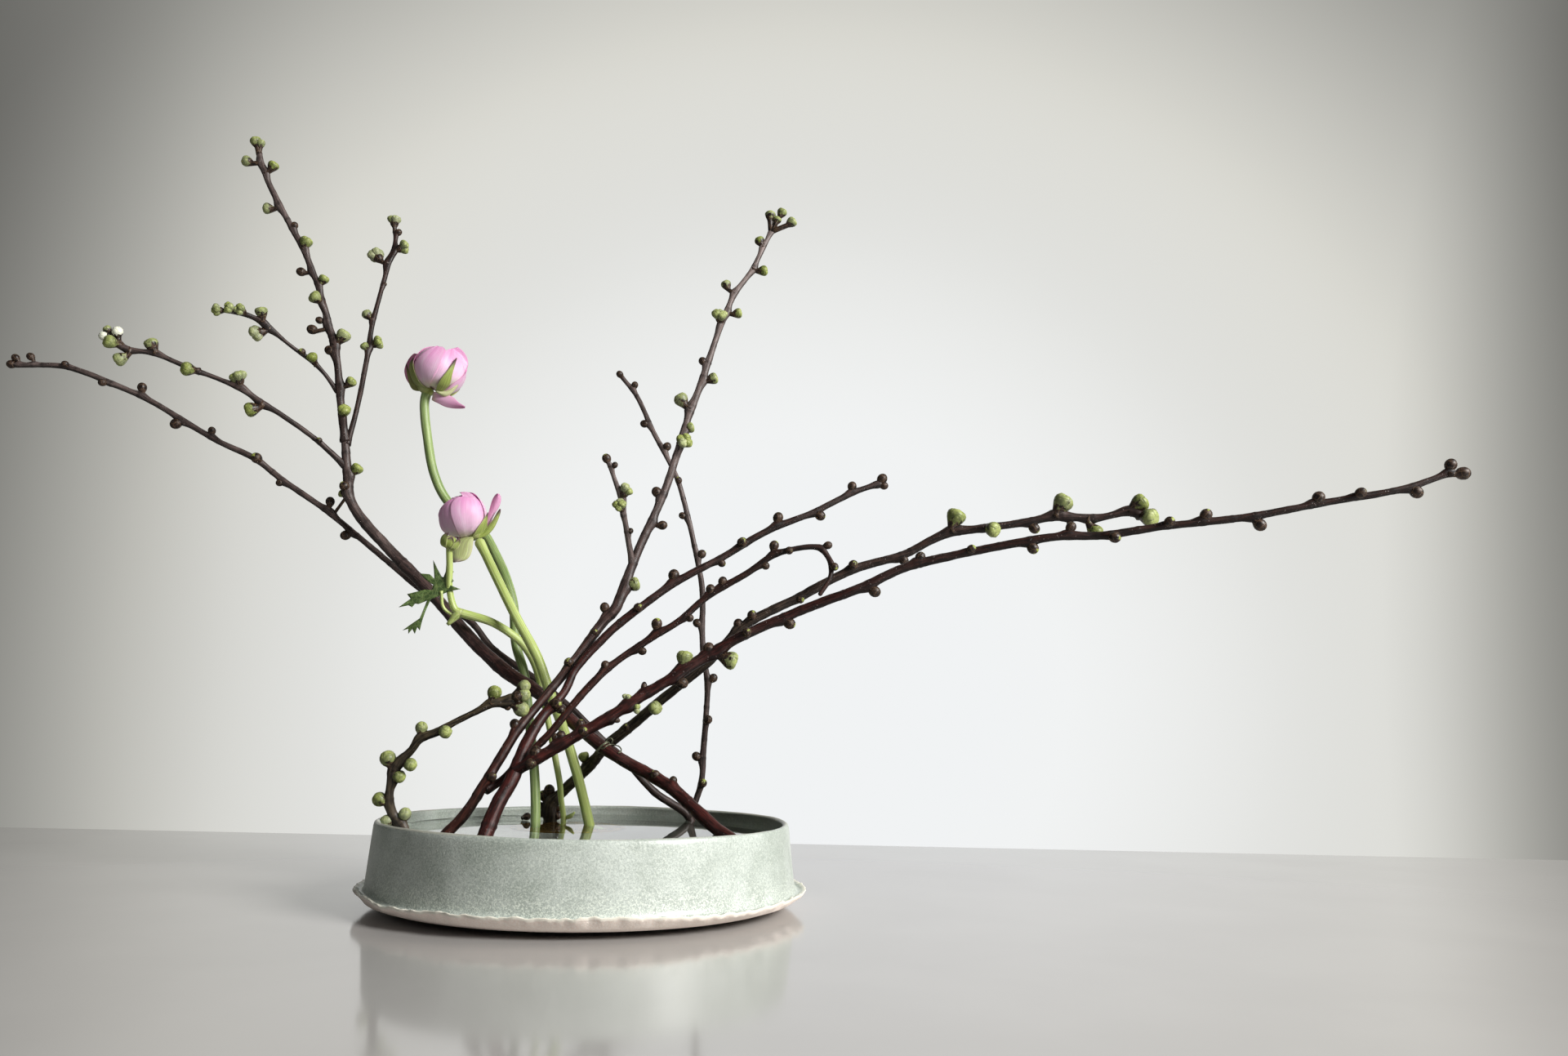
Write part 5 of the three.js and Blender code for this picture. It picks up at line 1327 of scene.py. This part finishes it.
class BranchSizes(bpy.types.PropertyGroup):
    waver: factor(
        "Unevenness", "How uneven the branches are, as a share of their radius", 0.1, 0, 0.3
    )
    slimness: factor(
        "Slimness", "Thickness of a branch as a share of its listed radius", 0.93, 0.8, 1
    )
    step: measure(
        "Ring spacing", "Distance between the rings of faces along a branch", 0.0015, 0.001, 0.004
    )
    red_dark: shade("Red bark, dark", "Streaks of the red branches near their feet", "1e0b09")
    red_light: shade("Red bark, light", "Ground of the red branches near their feet", "4c1f1b")
    brown_dark: shade("Brown bark, dark", "Streaks of young bark", "0d0706")
    brown_light: shade("Brown bark, light", "Ground of young bark", "301a14")
    grey_dark: shade("Grey bark, dark", "Streaks of the grey branches near their feet", "1c0d0a")
    grey_light: shade("Grey bark, light", "Ground of the grey branches near their feet", "4a251d")
    olive_dark: shade("Olive bark, dark", "Streaks of the olive branches near their feet", "15110b")
    olive_light: shade("Olive bark, light", "Ground of the olive branches near their feet", "4c422f")
    film: shade("Bark film", "Grey of the older bark", "9c8c88")
    bud_green: shade("Bud green", "Green of a swelling bud", "545f20")
    bud_light: shade("Bud light green", "Lighter green of a swelling bud", "98a450")
    bud_brown: shade("Bud brown", "Brown of a closed bud's scales", "412e22")


class FlowerSizes(bpy.types.PropertyGroup):
    petal_thickness: measure("Petal thickness", "Thickness of a petal", 0.00035, 0.0002, 0.0008)
    sepal_thickness: measure(
        "Sepal thickness", "Thickness of a sepal or leaf", 0.0005, 0.0003, 0.001
    )
    petal: shade("Petal", "Main colour of the petals", "efbfdc")
    petal_deep: shade("Petal, deep", "Colour of the petals towards their tips", "dd90c0")
    stem: shade("Stem", "Green of the flower stems", "a1b25e")
    stem_dull: shade("Stem, dull", "Green of the older flower stem", "6c8448")
    stem_dull_light: shade("Stem, dull light", "Ribs of the older flower stem", "9fb374")
    stem_light: shade("Stem, light", "Ribs of the flower stems", "c2d088")
    sepal: shade("Sepal", "Green of the sepals", "7f8a3c")
    leaf: shade("Leaf", "Green of the leaves", "3d5228")


class StageSizes(bpy.types.PropertyGroup):
    floor: shade("Table", "Colour of the table top", "b3b1af")
    backdrop: shade("Backdrop", "Colour of the plain backdrop", "f1f3f4")
    backdrop_edge: shade("Backdrop edge", "Colour of the backdrop towards its edges", "f3f2ea")
    key_power: wattage("Main light", "Power of the soft main light", 112)
    fill_power: wattage("Fill light", "Power of the weak light opposite", 3)


# ---- Pieces ----------------------------------------------------------------------------------


def inside_radius(height):
    share = (height - WALL_BASE) / (RIM_HEIGHT - WALL_BASE)
    thickness = WALL_THICKNESS + (RIM_THICKNESS - WALL_THICKNESS) * share
    return WALL_BASE_RADIUS + (RIM_RADIUS - WALL_BASE_RADIUS) * share - thickness


def inside_up_to(height, gap):
    """The bowl's inside from the middle of its floor up to a height, set in by a gap."""
    top = FLOOR + FLOOR_CORNER
    middle = inside_radius(top) - FLOOR_CORNER
    reach = FLOOR_CORNER - gap
    corner = []
    for degrees in range(0, 91, 10):
        turn = math.radians(degrees)
        corner.append((middle + reach * math.sin(turn), top - reach * math.cos(turn)))
    return [(0, FLOOR + gap), *corner, (inside_radius(height) - gap, height)]


def waves(turn, *parts):
    """A ripple round the bowl; each part is its height, how often it repeats and its phase."""
    return sum(height * math.sin(times * turn + phase) for height, times, phase in parts)


def thrown(place, ragged):
    """Where a place on the even bowl goes: torn at the flange, bulged and waved at the rim."""
    radius, height = math.hypot(place.x, place.y), place.z
    turn = math.atan2(place.y, place.x)
    around = Vector((math.cos(turn), math.sin(turn), 0.4))
    edge = min(max((radius - WALL_BASE_RADIUS) / 4, 0), 1)
    tear = noise.noise(around * 9) + 0.6 * noise.noise(around * 24)
    chips = max(0, noise.noise(around * 17 + Vector((3, 1, 7))) - 0.22)
    out = edge * (0.6 * waves(turn, (0.8, 5, 0.6), (0.5, 11, 2)) + ragged * tear - 3.2 * chips)
    lift = edge * waves(turn, (0.5, 4, 1), (0.3, 9, 0))
    lift += edge**2 * (0.6 * noise.noise(around * 13) + noise.noise(around * 38))
    lift += edge * 0.9 * max(0, math.cos(turn + 2.3)) ** 2
    out += 2.2 * max(0, math.cos(turn - math.pi)) ** 3 * max(0, height / RIM_HEIGHT - 0.3)
    if height > RIM_HEIGHT - 4:
        lift += waves(turn, (0.35, 2, 0.4), (0.2, 5, 0)) + 0.15 * noise.noise(around * 8)
    if radius > 60:
        out += 0.18 * noise.noise(Vector((place.x, place.y, 3 * height)) * 0.02)
    grown = (radius + out) / radius if radius > 1 else 1
    return Vector((place.x * grown, place.y * grown, height + lift))


def is_bare(radius, height):
    """Whether the glaze stops short of a place on the even bowl."""
    crest = FLANGE_TIP - 0.6 + 0.28 * (radius - FLANGE_RADIUS)
    under = height < crest and (radius > FOOT_RADIUS - 4 or height < 3)
    pooled_and_shaded = height > FLANGE_TIP - 2.4 and radius < FLANGE_RADIUS - 4.5
    return under and not pooled_and_shaded and radius < FLANGE_RADIUS - 0.4


class IKEBANA_OT_bowl(bpy.types.Operator):
    """Make the glazed bowl with its torn edge and bare clay foot"""

    bl_idname = "ikebana.bowl"
    bl_label = "Bowl"

    def execute(self, context):
        sizes = context.scene.ikebana_bowl
        top = sizes.rim_height / MM
        underside = divided(softened([
            (0, 0.5), (FOOT_RADIUS - 3, 0.5), (FOOT_RADIUS - 2.2, 0), (FOOT_RADIUS, 0),
            (FOOT_RADIUS, FOOT_HEIGHT), (FOOT_RADIUS + 14, FOOT_HEIGHT + 0.4),
            (FOOT_RADIUS + 24, FOOT_HEIGHT + 1.4), (FOOT_RADIUS + 31, FOOT_HEIGHT + 3.6),
            (FLANGE_RADIUS - 1.5, FLANGE_TIP - 2.2),
            (FLANGE_RADIUS, FLANGE_TIP - 0.3),
        ], 0.4), 3)
        outside = divided(softened([
            (FLANGE_RADIUS - 0.3, FLANGE_TIP + 0.2), (FLANGE_RADIUS - 1.6, FLANGE_TIP - 0.1),
            (WALL_BASE_RADIUS + 1.2, WALL_BASE - 2.2), (WALL_BASE_RADIUS, WALL_BASE),
            (RIM_RADIUS, top - 1.6), (RIM_RADIUS - 0.9, top - 0.2),
            (RIM_RADIUS - RIM_THICKNESS + 0.9, top), (RIM_RADIUS - RIM_THICKNESS - 0.1, top - 1.4),
        ], 0.9), 2.4)
        inside = divided(inside_up_to(top - 2.2, 0), 4)[::-1]
        bm = blank()
        lathe(bm, [*underside, *outside, *inside], BOWL_STEPS)
        tone, mark = layers(bm, "tone", "mark")
        for vert in bm.verts:
            radius = math.hypot(vert.co.x, vert.co.y)
            vert[mark] = 1.0 if is_bare(radius, vert.co.z) else 0.0
            vert[tone] = min(1, max(0, (radius - FLANGE_RADIUS + 2.6) / 1.6))
            vert.co = thrown(vert.co, sizes.ragged / MM)
        finished(bm, "bowl_glazed", bowl_glaze(sizes), "bowl", "celadon")
        return {"FINISHED"}


class IKEBANA_OT_water(bpy.types.Operator):
    """Fill the bowl with still water that climbs a little at the wall"""

    bl_idname = "ikebana.water"
    bl_label = "Water"

    def execute(self, context):
        edge = inside_radius(WATER_LEVEL)
        level = [(edge + 0.25, WATER_LEVEL + 0.7), (edge - 0.5, WATER_LEVEL + 0.25)]
        level += [(edge - 1.6, WATER_LEVEL), (0, WATER_LEVEL)]
        bm = blank()
        lathe(bm, divided([*inside_up_to(WATER_LEVEL, -0.2), *level], 5), WATER_STEPS)
        finished(bm, "water_clear", clear_water(), "water", "water")
        return {"FINISHED"}


class IKEBANA_OT_pin_holder(bpy.types.Operator):
    """Make the round brass holder with its bed of pins under the stems"""

    bl_idname = "ikebana.pin_holder"
    bl_label = "Pin holder"

    def execute(self, context):
        spacing = context.scene.ikebana_bowl.pin_spacing / MM
        stems = [limb(*BRANCHES["branch_dark"][3][0][:2])]
        stems += [limb(*parts[0]) for parts in STEMS.values()]
        bm = blank()
        profile = [
            (0, HOLDER_BOTTOM), (HOLDER_RADIUS, HOLDER_BOTTOM), (HOLDER_RADIUS, HOLDER_TOP - 1.5),
            (HOLDER_RADIUS - 1.5, HOLDER_TOP - 1.5), (HOLDER_RADIUS - 1.5, HOLDER_TOP),
            (0, HOLDER_TOP),
        ]
        lathe(bm, softened(profile, 0.5), HOLDER_STEPS)
        bmesh.ops.translate(bm, vec=HOLDER_MIDDLE, verts=bm.verts[:])
        rows = int(HOLDER_RADIUS / spacing) + 1
        for row in range(-rows, rows + 1):
            for column in range(-rows, rows + 1):
                x = (column + 0.5 * (row % 2)) * spacing
                y = row * spacing * math.sqrt(0.75)
                if math.hypot(x, y) > HOLDER_RADIUS - 3:
                    continue
                x, y = x + HOLDER_MIDDLE.x, y + HOLDER_MIDDLE.y
                top = HOLDER_TOP + PIN_HEIGHT
                if min(stem.clearance(x, y, HOLDER_TOP - 3, top + 3) for stem in stems) < 1:
                    continue
                pin = Matrix.Translation((x, y, HOLDER_TOP + PIN_HEIGHT / 2 - 0.4))
                bmesh.ops.create_cone(
                    bm, cap_ends=True, segments=6, radius1=PIN_ROOT_RADIUS,
                    radius2=PIN_TIP_RADIUS, depth=PIN_HEIGHT + 0.8, matrix=pin,
                )
        finished(bm, "pin_holder_brass", aged_brass(), "pin_holder", "brass")
        return {"FINISHED"}


def cut_level(bm, height):
    """Cuts away what lies below a height and closes the cut."""
    cut = bmesh.ops.bisect_plane(
        bm, geom=bm.verts[:] + bm.edges[:] + bm.faces[:], plane_co=(0, 0, height),
        plane_no=(0, 0, 1), clear_inner=True,
    )
    edges = [part for part in cut["geom_cut"] if isinstance(part, bmesh.types.BMEdge)]
    if edges:
        bmesh.ops.holes_fill(bm, edges=edges, sides=0)


# A branch that is thicker than this at its foot gets the larger number of sides.
THICK_FOOT = 2.6
THICK_SIDES, THIN_SIDES = 14, 12
# How far from the foot the first old scar may be, and how far on the next.
FIRST_SCAR, NEXT_SCAR = (15, 40), (14, 46)


class IKEBANA_OT_branches(bpy.types.Operator):
    """Grow the six branches and twigs with their buds"""

    bl_idname = "ikebana.branches"
    bl_label = "Branches"

    def execute(self, context):
        sizes = context.scene.ikebana_branches
        barks = {}
        for kind in ("red", "brown", "grey", "olive"):
            dark, light = (getattr(sizes, f"{kind}_{tone}") for tone in ("dark", "light"))
            barks[kind] = bark(f"{kind} bark", dark, light, sizes)
        scales = bud_scales(sizes)
        seed = 0
        for node, (kind, slot, bottom, limbs) in BRANCHES.items():
            wood, buds = blank(), blank()
            rand = random.Random(node)
            for stations, feet, bud_places, usual, tones in limbs:
                seed += 1
                here = limb(stations, feet)
                grown = []
                for across, up, size, *named in bud_places:
                    grown.append(Bud(here, across, up, size, named[0] if named else usual))
                scars = [bud.along - 0.2 * bud.size for bud in grown]
                spot = rand.uniform(*FIRST_SCAR)
                while spot < here.length:
                    scars.append(spot)
                    spot += rand.uniform(*NEXT_SCAR)
                sides = THICK_SIDES if here.at(0)[2] > THICK_FOOT else THIN_SIDES
                sweep(
                    wood, here, sides, sizes.step / MM, grown, scars, seed, sizes.waver,
                    tones=tones, slim=sizes.slimness,
                )
                for bud in grown:
                    add_bud(buds, bud, rand)
            cut_level(wood, bottom)
            finished(wood, f"{node}_bark", barks[kind], node, slot)
            finished(buds, f"{node}_buds", scales, node, slot)
        return {"FINISHED"}


# Sides of a stem and the distance between its rings of faces.
STEM_SIDES = 16
STEM_STEP = 1.6


class IKEBANA_OT_stems(bpy.types.Operator):
    """Make the green stems of the flowers and of the leafy side shoot"""

    bl_idname = "ikebana.stems"
    bl_label = "Stems"

    def execute(self, context):
        colours = context.scene.ikebana_flowers
        fresh = stem_skin("fresh green stem", colours.stem, colours.stem_light)
        dull = stem_skin("dull green stem", colours.stem_dull, colours.stem_dull_light)
        for number, (node, parts) in enumerate(STEMS.items()):
            bm = blank()
            for order, (stations, feet) in enumerate(parts):
                collar = 0.15 if feet else 0.05
                sweep(
                    bm, limb(stations, feet), STEM_SIDES, STEM_STEP,
                    seed=30 + 5 * number + order, waver=0.03, collar=collar,
                )
            cut_level(bm, HOLDER_TOP + GAP)
            finished(bm, f"{node}_green", dull if node == DULL_STEM else fresh, node, "stem")
        return {"FINISHED"}


# Petals grow one golden angle on from the last, in degrees.
GOLDEN_ANGLE = 137.5
TUFT_PETALS = 6
# The petals all round take their unevenness from this number on.
PETAL_SEED = 220


def tuft(bm, globe):
    """The small petals that close over the top of a bloom, seen from above."""
    for index in range(TUFT_PETALS):
        inset = 2.6 + 0.9 * index
        round_petal(
            bm, globe, GOLDEN_ANGLE * index, 52 - 2 * index, 60, 172, -inset, 0.9, 50 + index,
            10, 10,
        )


class IKEBANA_OT_blooms(bpy.types.Operator):
    """Fold the petals of the two ranunculus blooms round each other"""

    bl_idname = "ikebana.blooms"
    bl_label = "Blooms"

    def execute(self, context):
        colours = context.scene.ikebana_flowers
        skin = petal_skin(colours)
        thickness = colours.petal_thickness / MM
        upper, lower = Globe(*UPPER_GLOBE), Globe(*LOWER_GLOBE)
        for name, globe, petals in (
            ("bloom_upper", upper, UPPER_ROUND), ("bloom_lower", lower, LOWER_ROUND),
        ):
            bm = blank()
            for seed, petal in enumerate(petals, PETAL_SEED):
                round_petal(bm, globe, *petal, seed)
            tuft(bm, globe)
            if globe is upper:
                drawn_petal(bm, UPPER_NEAR_RIGHT, on_globe(globe, 0.5, 0.2, 0.3, crease=-0.3))
                drawn_petal(bm, UPPER_NEAR_LEFT, on_globe(globe, 1.1, 0.3, 0.2))
                drawn_petal(bm, UPPER_HANGING, at_depth(57, -4, 1.2, -3), tone=0.3)
                drawn_petal(bm, UPPER_LEFT_SEPAL, on_globe(globe, 1.5, 0.4, 0.6), tone=0.85)
            else:
                drawn_petal(bm, LOWER_LEFT, on_globe(globe, 0.4, 0.3, 0.6))
                drawn_petal(bm, LOWER_NEAR, on_globe(globe, 1.0, 0.3, 0.3, crease=-0.4))
                drawn_petal(bm, LOWER_UPRIGHT, at_depth(50, 0, 2.0, -1), tone=0.35)
            finished(bm, f"{name}_petals", skin, name, "petal", thickness, petals=True)
        return {"FINISHED"}


def closed_globe(bm, globe, columns, rows, lift):
    """The whole skin of a globe, lifted off it."""
    shell(
        bm, columns, rows, lambda u, v, vert: globe.place(360 * u, 180 * v, lift), close=True
    )


class IKEBANA_OT_sepals(bpy.types.Operator):
    """Set the sepals and the swollen stem ends that carry the blooms, and the small side bud"""

    bl_idname = "ikebana.sepals"
    bl_label = "Sepals"

    def execute(self, context):
        colours = context.scene.ikebana_flowers
        skin = sepal_skin(colours)
        thickness = colours.sepal_thickness / MM
        upper, lower = Globe(*UPPER_GLOBE), Globe(*LOWER_GLOBE)

        bm = blank()
        drawn_petal(bm, UPPER_LEFT_GREEN, on_globe(upper, 1.9, 0.2, 0.3), tone=0.15, columns=8)
        drawn_petal(bm, UPPER_LEFT_CURL, on_globe(upper, 0.9, 0, 0), tone=0.5, columns=6)
        drawn_petal(bm, UPPER_FRONT_SEPAL, on_globe(upper, 1.9, -0.3, 0.5, crease=0.2), columns=8)
        drawn_petal(bm, UPPER_RIGHT_SEPAL, at_depth(52, 6, 1.5), mark=0.35, columns=8)
        for seed, sepal in enumerate(UPPER_FAR_SEPALS, 61):
            round_petal(bm, upper, *sepal, seed, 8, 10)
        finished(bm, "sepals_upper", skin, "flower_stem_upper", "stem", thickness, petals=True)

        bm = blank()
        drawn_petal(bm, LOWER_FRONT_SEPAL, on_globe(lower, 1.9, 0.3, 0.4, crease=0.3), columns=8)
        drawn_petal(bm, LOWER_RIGHT_SEPAL, at_depth(44, 4, 1.2), columns=8)
        drawn_petal(bm, LOWER_HANGING_SEPAL, at_depth(41, -2, 2.0, -2), mark=0.2, columns=10)
        for seed, sepal in enumerate(LOWER_FAR_SEPALS, 64):
            round_petal(bm, lower, *sepal, seed, 8, 10)
        finished(bm, "sepals_lower", skin, "flower_stem_lower", "stem", thickness, petals=True)

        bm = blank()
        bud_globe = Globe(*SIDE_BUD_GLOBE)
        closed_globe(bm, bud_globe, 20, 14, -0.6)
        for index in range(SIDE_BUD_PETALS):
            layer = index % 3
            round_petal(
                bm, bud_globe, 15 + 62 * index, 40, 8, 128 + 9 * layer, 0.3 * layer, 0.9,
                70 + index, 8, 10,
            )
        finished(bm, "side_bud", skin, "leafy_stem", "stem", thickness, petals=True)

        for globe, (which, swollen) in zip((upper, lower), RECEPTACLES.items()):
            bm = blank()
            swelling = Globe((0, 0, 0), *swollen, math.degrees(math.asin(globe.axis.x)))
            swelling.middle = globe.place(0, 0, -0.4)
            closed_globe(bm, swelling, 24, 12, 0)
            finished(bm, f"receptacle_{which}", skin, f"flower_stem_{which}", "stem")
        return {"FINISHED"}


# How far behind the bowl's middle the leaves of the side shoot hang.
LEAF_DEPTH = 29


def cut_leaf(bm, outline, bend):
    """A leaf with cut edges, filled between its outline and gently waved."""
    done = layers(bm, "mark")[0]
    verts = [bm.verts.new((across, 0, up)) for across, up in outline]
    edges = [bm.edges.new((verts[i - 1], verts[i])) for i in range(len(verts))]
    bmesh.ops.triangle_fill(bm, use_beauty=True, edges=edges)
    new_edges = [edge for edge in bm.edges if not edge.verts[0][done]]
    bmesh.ops.subdivide_edges(bm, edges=new_edges, cuts=3, use_grid_fill=True)
    root = outline[0][1]
    for vert in bm.verts:
        if not vert[done]:
            across, up = vert.co.x, vert.co.z
            wave = 1.3 * noise.noise(Vector((across, up, 3)) * 0.13)
            vert.co = seen(across, up, LEAF_DEPTH + (up - root) * bend + wave)
            vert[done] = 1


class IKEBANA_OT_leaf(bpy.types.Operator):
    """Cut the leaf and the hanging leaflet of the side shoot"""

    bl_idname = "ikebana.leaf"
    bl_label = "Leaf"

    def execute(self, context):
        colours = context.scene.ikebana_flowers
        bm = blank()
        cut_leaf(bm, LEAF, 0.05)
        cut_leaf(bm, HANGING_LEAFLET, -0.1)
        thickness = colours.sepal_thickness / MM
        finished(bm, "leaf_blades", leaf_skin(colours), "leafy_stem", "stem", thickness)
        return {"FINISHED"}


# The wire: its open arch and the strand that lies over the crossing, as (across, up) and how far
# it stands off the branch.
TIE_ARCH = [
    (7.6, 88.6, 0.5), (8.6, 90.6, 0.9), (9.7, 92.0, 1.6), (11.3, 92.4, 1.6), (12.2, 91.2, 0.9),
    (11.6, 89.9, 0.5),
]
TIE_STRAND = [
    (6.4, 86.2, 0.3), (8.1, 87.0, 0.45), (9.4, 88.1, 0.45), (11.2, 88.8, 0.45), (13.5, 88.5, 0.45),
    (15.9, 87.8, 0.45), (17.3, 86.2, 0.45), (17.2, 84.8, 0.45), (16.2, 84.2, 0.3),
]
# The crossing as seen, the wire's radius, how far its middle stands off the bark, and the places
# along one turn of it.
CROSSING = (6.6, 87.0)
WIRE_RADIUS = 0.4
WIRE_OFF_BARK = 0.45
POINTS_PER_TURN = 20


def wire_round(here, along, lean, turns, drift):
    """Places along a wire wound round a limb, in a plane that leans from square by `lean`."""
    place, heading, radius = here.at(along)
    side = heading.cross(TOWARDS_SEAT).normalized()
    front = side.cross(heading)
    count = POINTS_PER_TURN * turns
    points = []
    for i in range(int(count) + 1):
        turn = i / POINTS_PER_TURN * 2 * math.pi
        cosine, sine = math.cos(turn), math.sin(turn)
        shift = heading * (lean * cosine * radius + drift * (i / count - 0.5))
        points.append(place + (side * cosine + front * sine) * (radius + WIRE_OFF_BARK) + shift)
    return points


def wire_over(here, marks):
    """Places along a wire that lies on the near side of a limb where it is seen."""
    points = []
    for across, up, off in marks:
        along, point, target = here.nearest(across, up)
        radius = here.at(along)[2]
        aside = (target - point).length
        out = math.sqrt(max(0, radius**2 - aside**2)) + off
        points.append(target + TOWARDS_SEAT * out)
    return points


class IKEBANA_OT_tie(bpy.types.Operator):
    """Lash the wire round the crossing of the two branches"""

    bl_idname = "ikebana.tie"
    bl_label = "Wire tie"

    def execute(self, context):
        thick = limb(*BRANCHES["branch_left"][3][0][:2])
        along = thick.nearest(*CROSSING)[0]
        ring = wire_round(thick, along, -0.25, 1.75, 0.9)
        arch = wire_over(thick, TIE_ARCH)
        strand = wire_over(thick, TIE_STRAND)
        bm = blank()
        for seed, points in enumerate((ring, arch, strand)):
            wire = Limb(points, [WIRE_RADIUS] * len(points))
            sweep(bm, wire, 8, 0.5, seed=80 + seed, waver=0, collar=0)
        finished(bm, "wire_lashing", tie_wire(), "wire_tie", "wire")
        return {"FINISHED"}


# The dry bud: where it floats, which way it points and its size.
FALLEN_PLACE = Vector((-48, 60, WATER_LEVEL + GAP + 2))
FALLEN_AXIS = Vector((0.8, -0.45, 0.3)).normalized()
FALLEN_SIZE = 2.3


class IKEBANA_OT_fallen_bud(bpy.types.Operator):
    """Float the dry bud that has dropped on the water"""

    bl_idname = "ikebana.fallen_bud"
    bl_label = "Fallen bud"

    def execute(self, context):
        bm = blank()
        root = FALLEN_PLACE - FALLEN_AXIS * 3.2
        bud_ball(
            bm, root, FALLEN_PLACE, FALLEN_AXIS, FALLEN_SIZE, 1.05, 0, 0.4, stretch=1.2
        )
        scales = bpy.data.materials["bud scales"]
        finished(bm, "fallen_bud_dry", scales, "fallen_bud", "dry_bud")
        return {"FINISHED"}


# The stage, in metres and degrees. Each light: its name, the size that holds its power, its
# place, width and colour.
TABLE_HALF = 3
TABLE_MIDDLE = -2.639
LIT_PLACE = Vector((0, 0, 0.15))
LIGHTS = (
    ("main light", "key_power", Vector((2.0, -1.2, 1.35)), 1.1, (1.0, 0.985, 0.96)),
    ("fill light", "fill_power", Vector((-1.8, -1.2, 1.2)), 1.0, (0.93, 0.96, 1.0)),
)
CAMERA_PITCH = 9.45
CAMERA_ROLL = 1.21
SENSOR_WIDTH = 36
FOCAL_LENGTH = 27.04


class IKEBANA_OT_stage(bpy.types.Operator):
    """Set the plain table, the soft light and the camera"""

    bl_idname = "ikebana.stage"
    bl_label = "Stage"

    def execute(self, context):
        sizes = context.scene.ikebana_stage
        scene = context.scene
        bm = bmesh.new()
        bmesh.ops.create_grid(bm, x_segments=4, y_segments=4, size=TABLE_HALF)
        bmesh.ops.translate(bm, vec=(0, TABLE_MIDDLE, 0), verts=bm.verts[:])
        table = placed(bm, "table_top", table_top(sizes))

        scene.world = studio(sizes)
        scene.view_settings.view_transform = "Standard"

        for name, power_name, place, width, colour in LIGHTS:
            light = bpy.data.lights.new(name, "AREA")
            light.shape = "DISK"
            light.size = width
            light.energy = getattr(sizes, power_name)
            light.color = colour
            lamp = bpy.data.objects.new(name, light)
            scene.collection.objects.link(lamp)
            turned = (LIT_PLACE - place).to_track_quat("-Z", "Y").to_matrix().to_4x4()
            lamp.matrix_world = Matrix.Translation(place) @ turned

        pitch, roll = math.radians(CAMERA_PITCH), math.radians(CAMERA_ROLL)
        right = Vector((1, 0, 0))
        up = Vector((0, -math.sin(pitch), math.cos(pitch)))
        ahead = Vector((0, math.cos(pitch), math.sin(pitch)))
        across = right * math.cos(roll) + up * math.sin(roll)
        upward = up * math.cos(roll) - right * math.sin(roll)
        turned = Matrix((across, upward, -ahead)).transposed().to_4x4()
        lens = bpy.data.cameras.new("camera")
        lens.sensor_width = SENSOR_WIDTH
        lens.lens = FOCAL_LENGTH
        camera = bpy.data.objects.new("camera", lens)
        camera.matrix_world = Matrix.Translation(SEAT * MM) @ turned
        scene.collection.objects.link(camera)
        scene.camera = camera
        return {"FINISHED"}


class IKEBANA_PT_panel(bpy.types.Panel):
    """The arrangement's sizes and the pieces that can be made"""

    bl_label = "Ikebana"
    bl_idname = "IKEBANA_PT_panel"
    bl_space_type = "VIEW_3D"
    bl_region_type = "UI"
    bl_category = "Ikebana"

    def draw(self, context):
        for name, group in GROUPS.items():
            column = self.layout.column(align=True)
            column.label(text=name.removeprefix("ikebana_").capitalize())
            settings = getattr(context.scene, name)
            for prop in group.__annotations__:
                column.prop(settings, prop)
        for operator in OPERATORS:
            self.layout.operator(operator.bl_idname)


GROUPS = {
    "ikebana_bowl": BowlSizes,
    "ikebana_branches": BranchSizes,
    "ikebana_flowers": FlowerSizes,
    "ikebana_stage": StageSizes,
}
OPERATORS = (
    IKEBANA_OT_stage,
    IKEBANA_OT_bowl,
    IKEBANA_OT_water,
    IKEBANA_OT_pin_holder,
    IKEBANA_OT_branches,
    IKEBANA_OT_stems,
    IKEBANA_OT_blooms,
    IKEBANA_OT_sepals,
    IKEBANA_OT_leaf,
    IKEBANA_OT_tie,
    IKEBANA_OT_fallen_bud,
)


def register():
    for kind in (*GROUPS.values(), *OPERATORS, IKEBANA_PT_panel):
        bpy.utils.register_class(kind)
    for name, group in GROUPS.items():
        setattr(bpy.types.Scene, name, bpy.props.PointerProperty(type=group))


def unregister():
    for name in GROUPS:
        delattr(bpy.types.Scene, name)
    for kind in reversed((*GROUPS.values(), *OPERATORS, IKEBANA_PT_panel)):
        bpy.utils.unregister_class(kind)


def main():
    register()
    for operator in OPERATORS:
        family, name = operator.bl_idname.split(".")
        getattr(getattr(bpy.ops, family), name)()


if __name__ == "__main__":
    main()
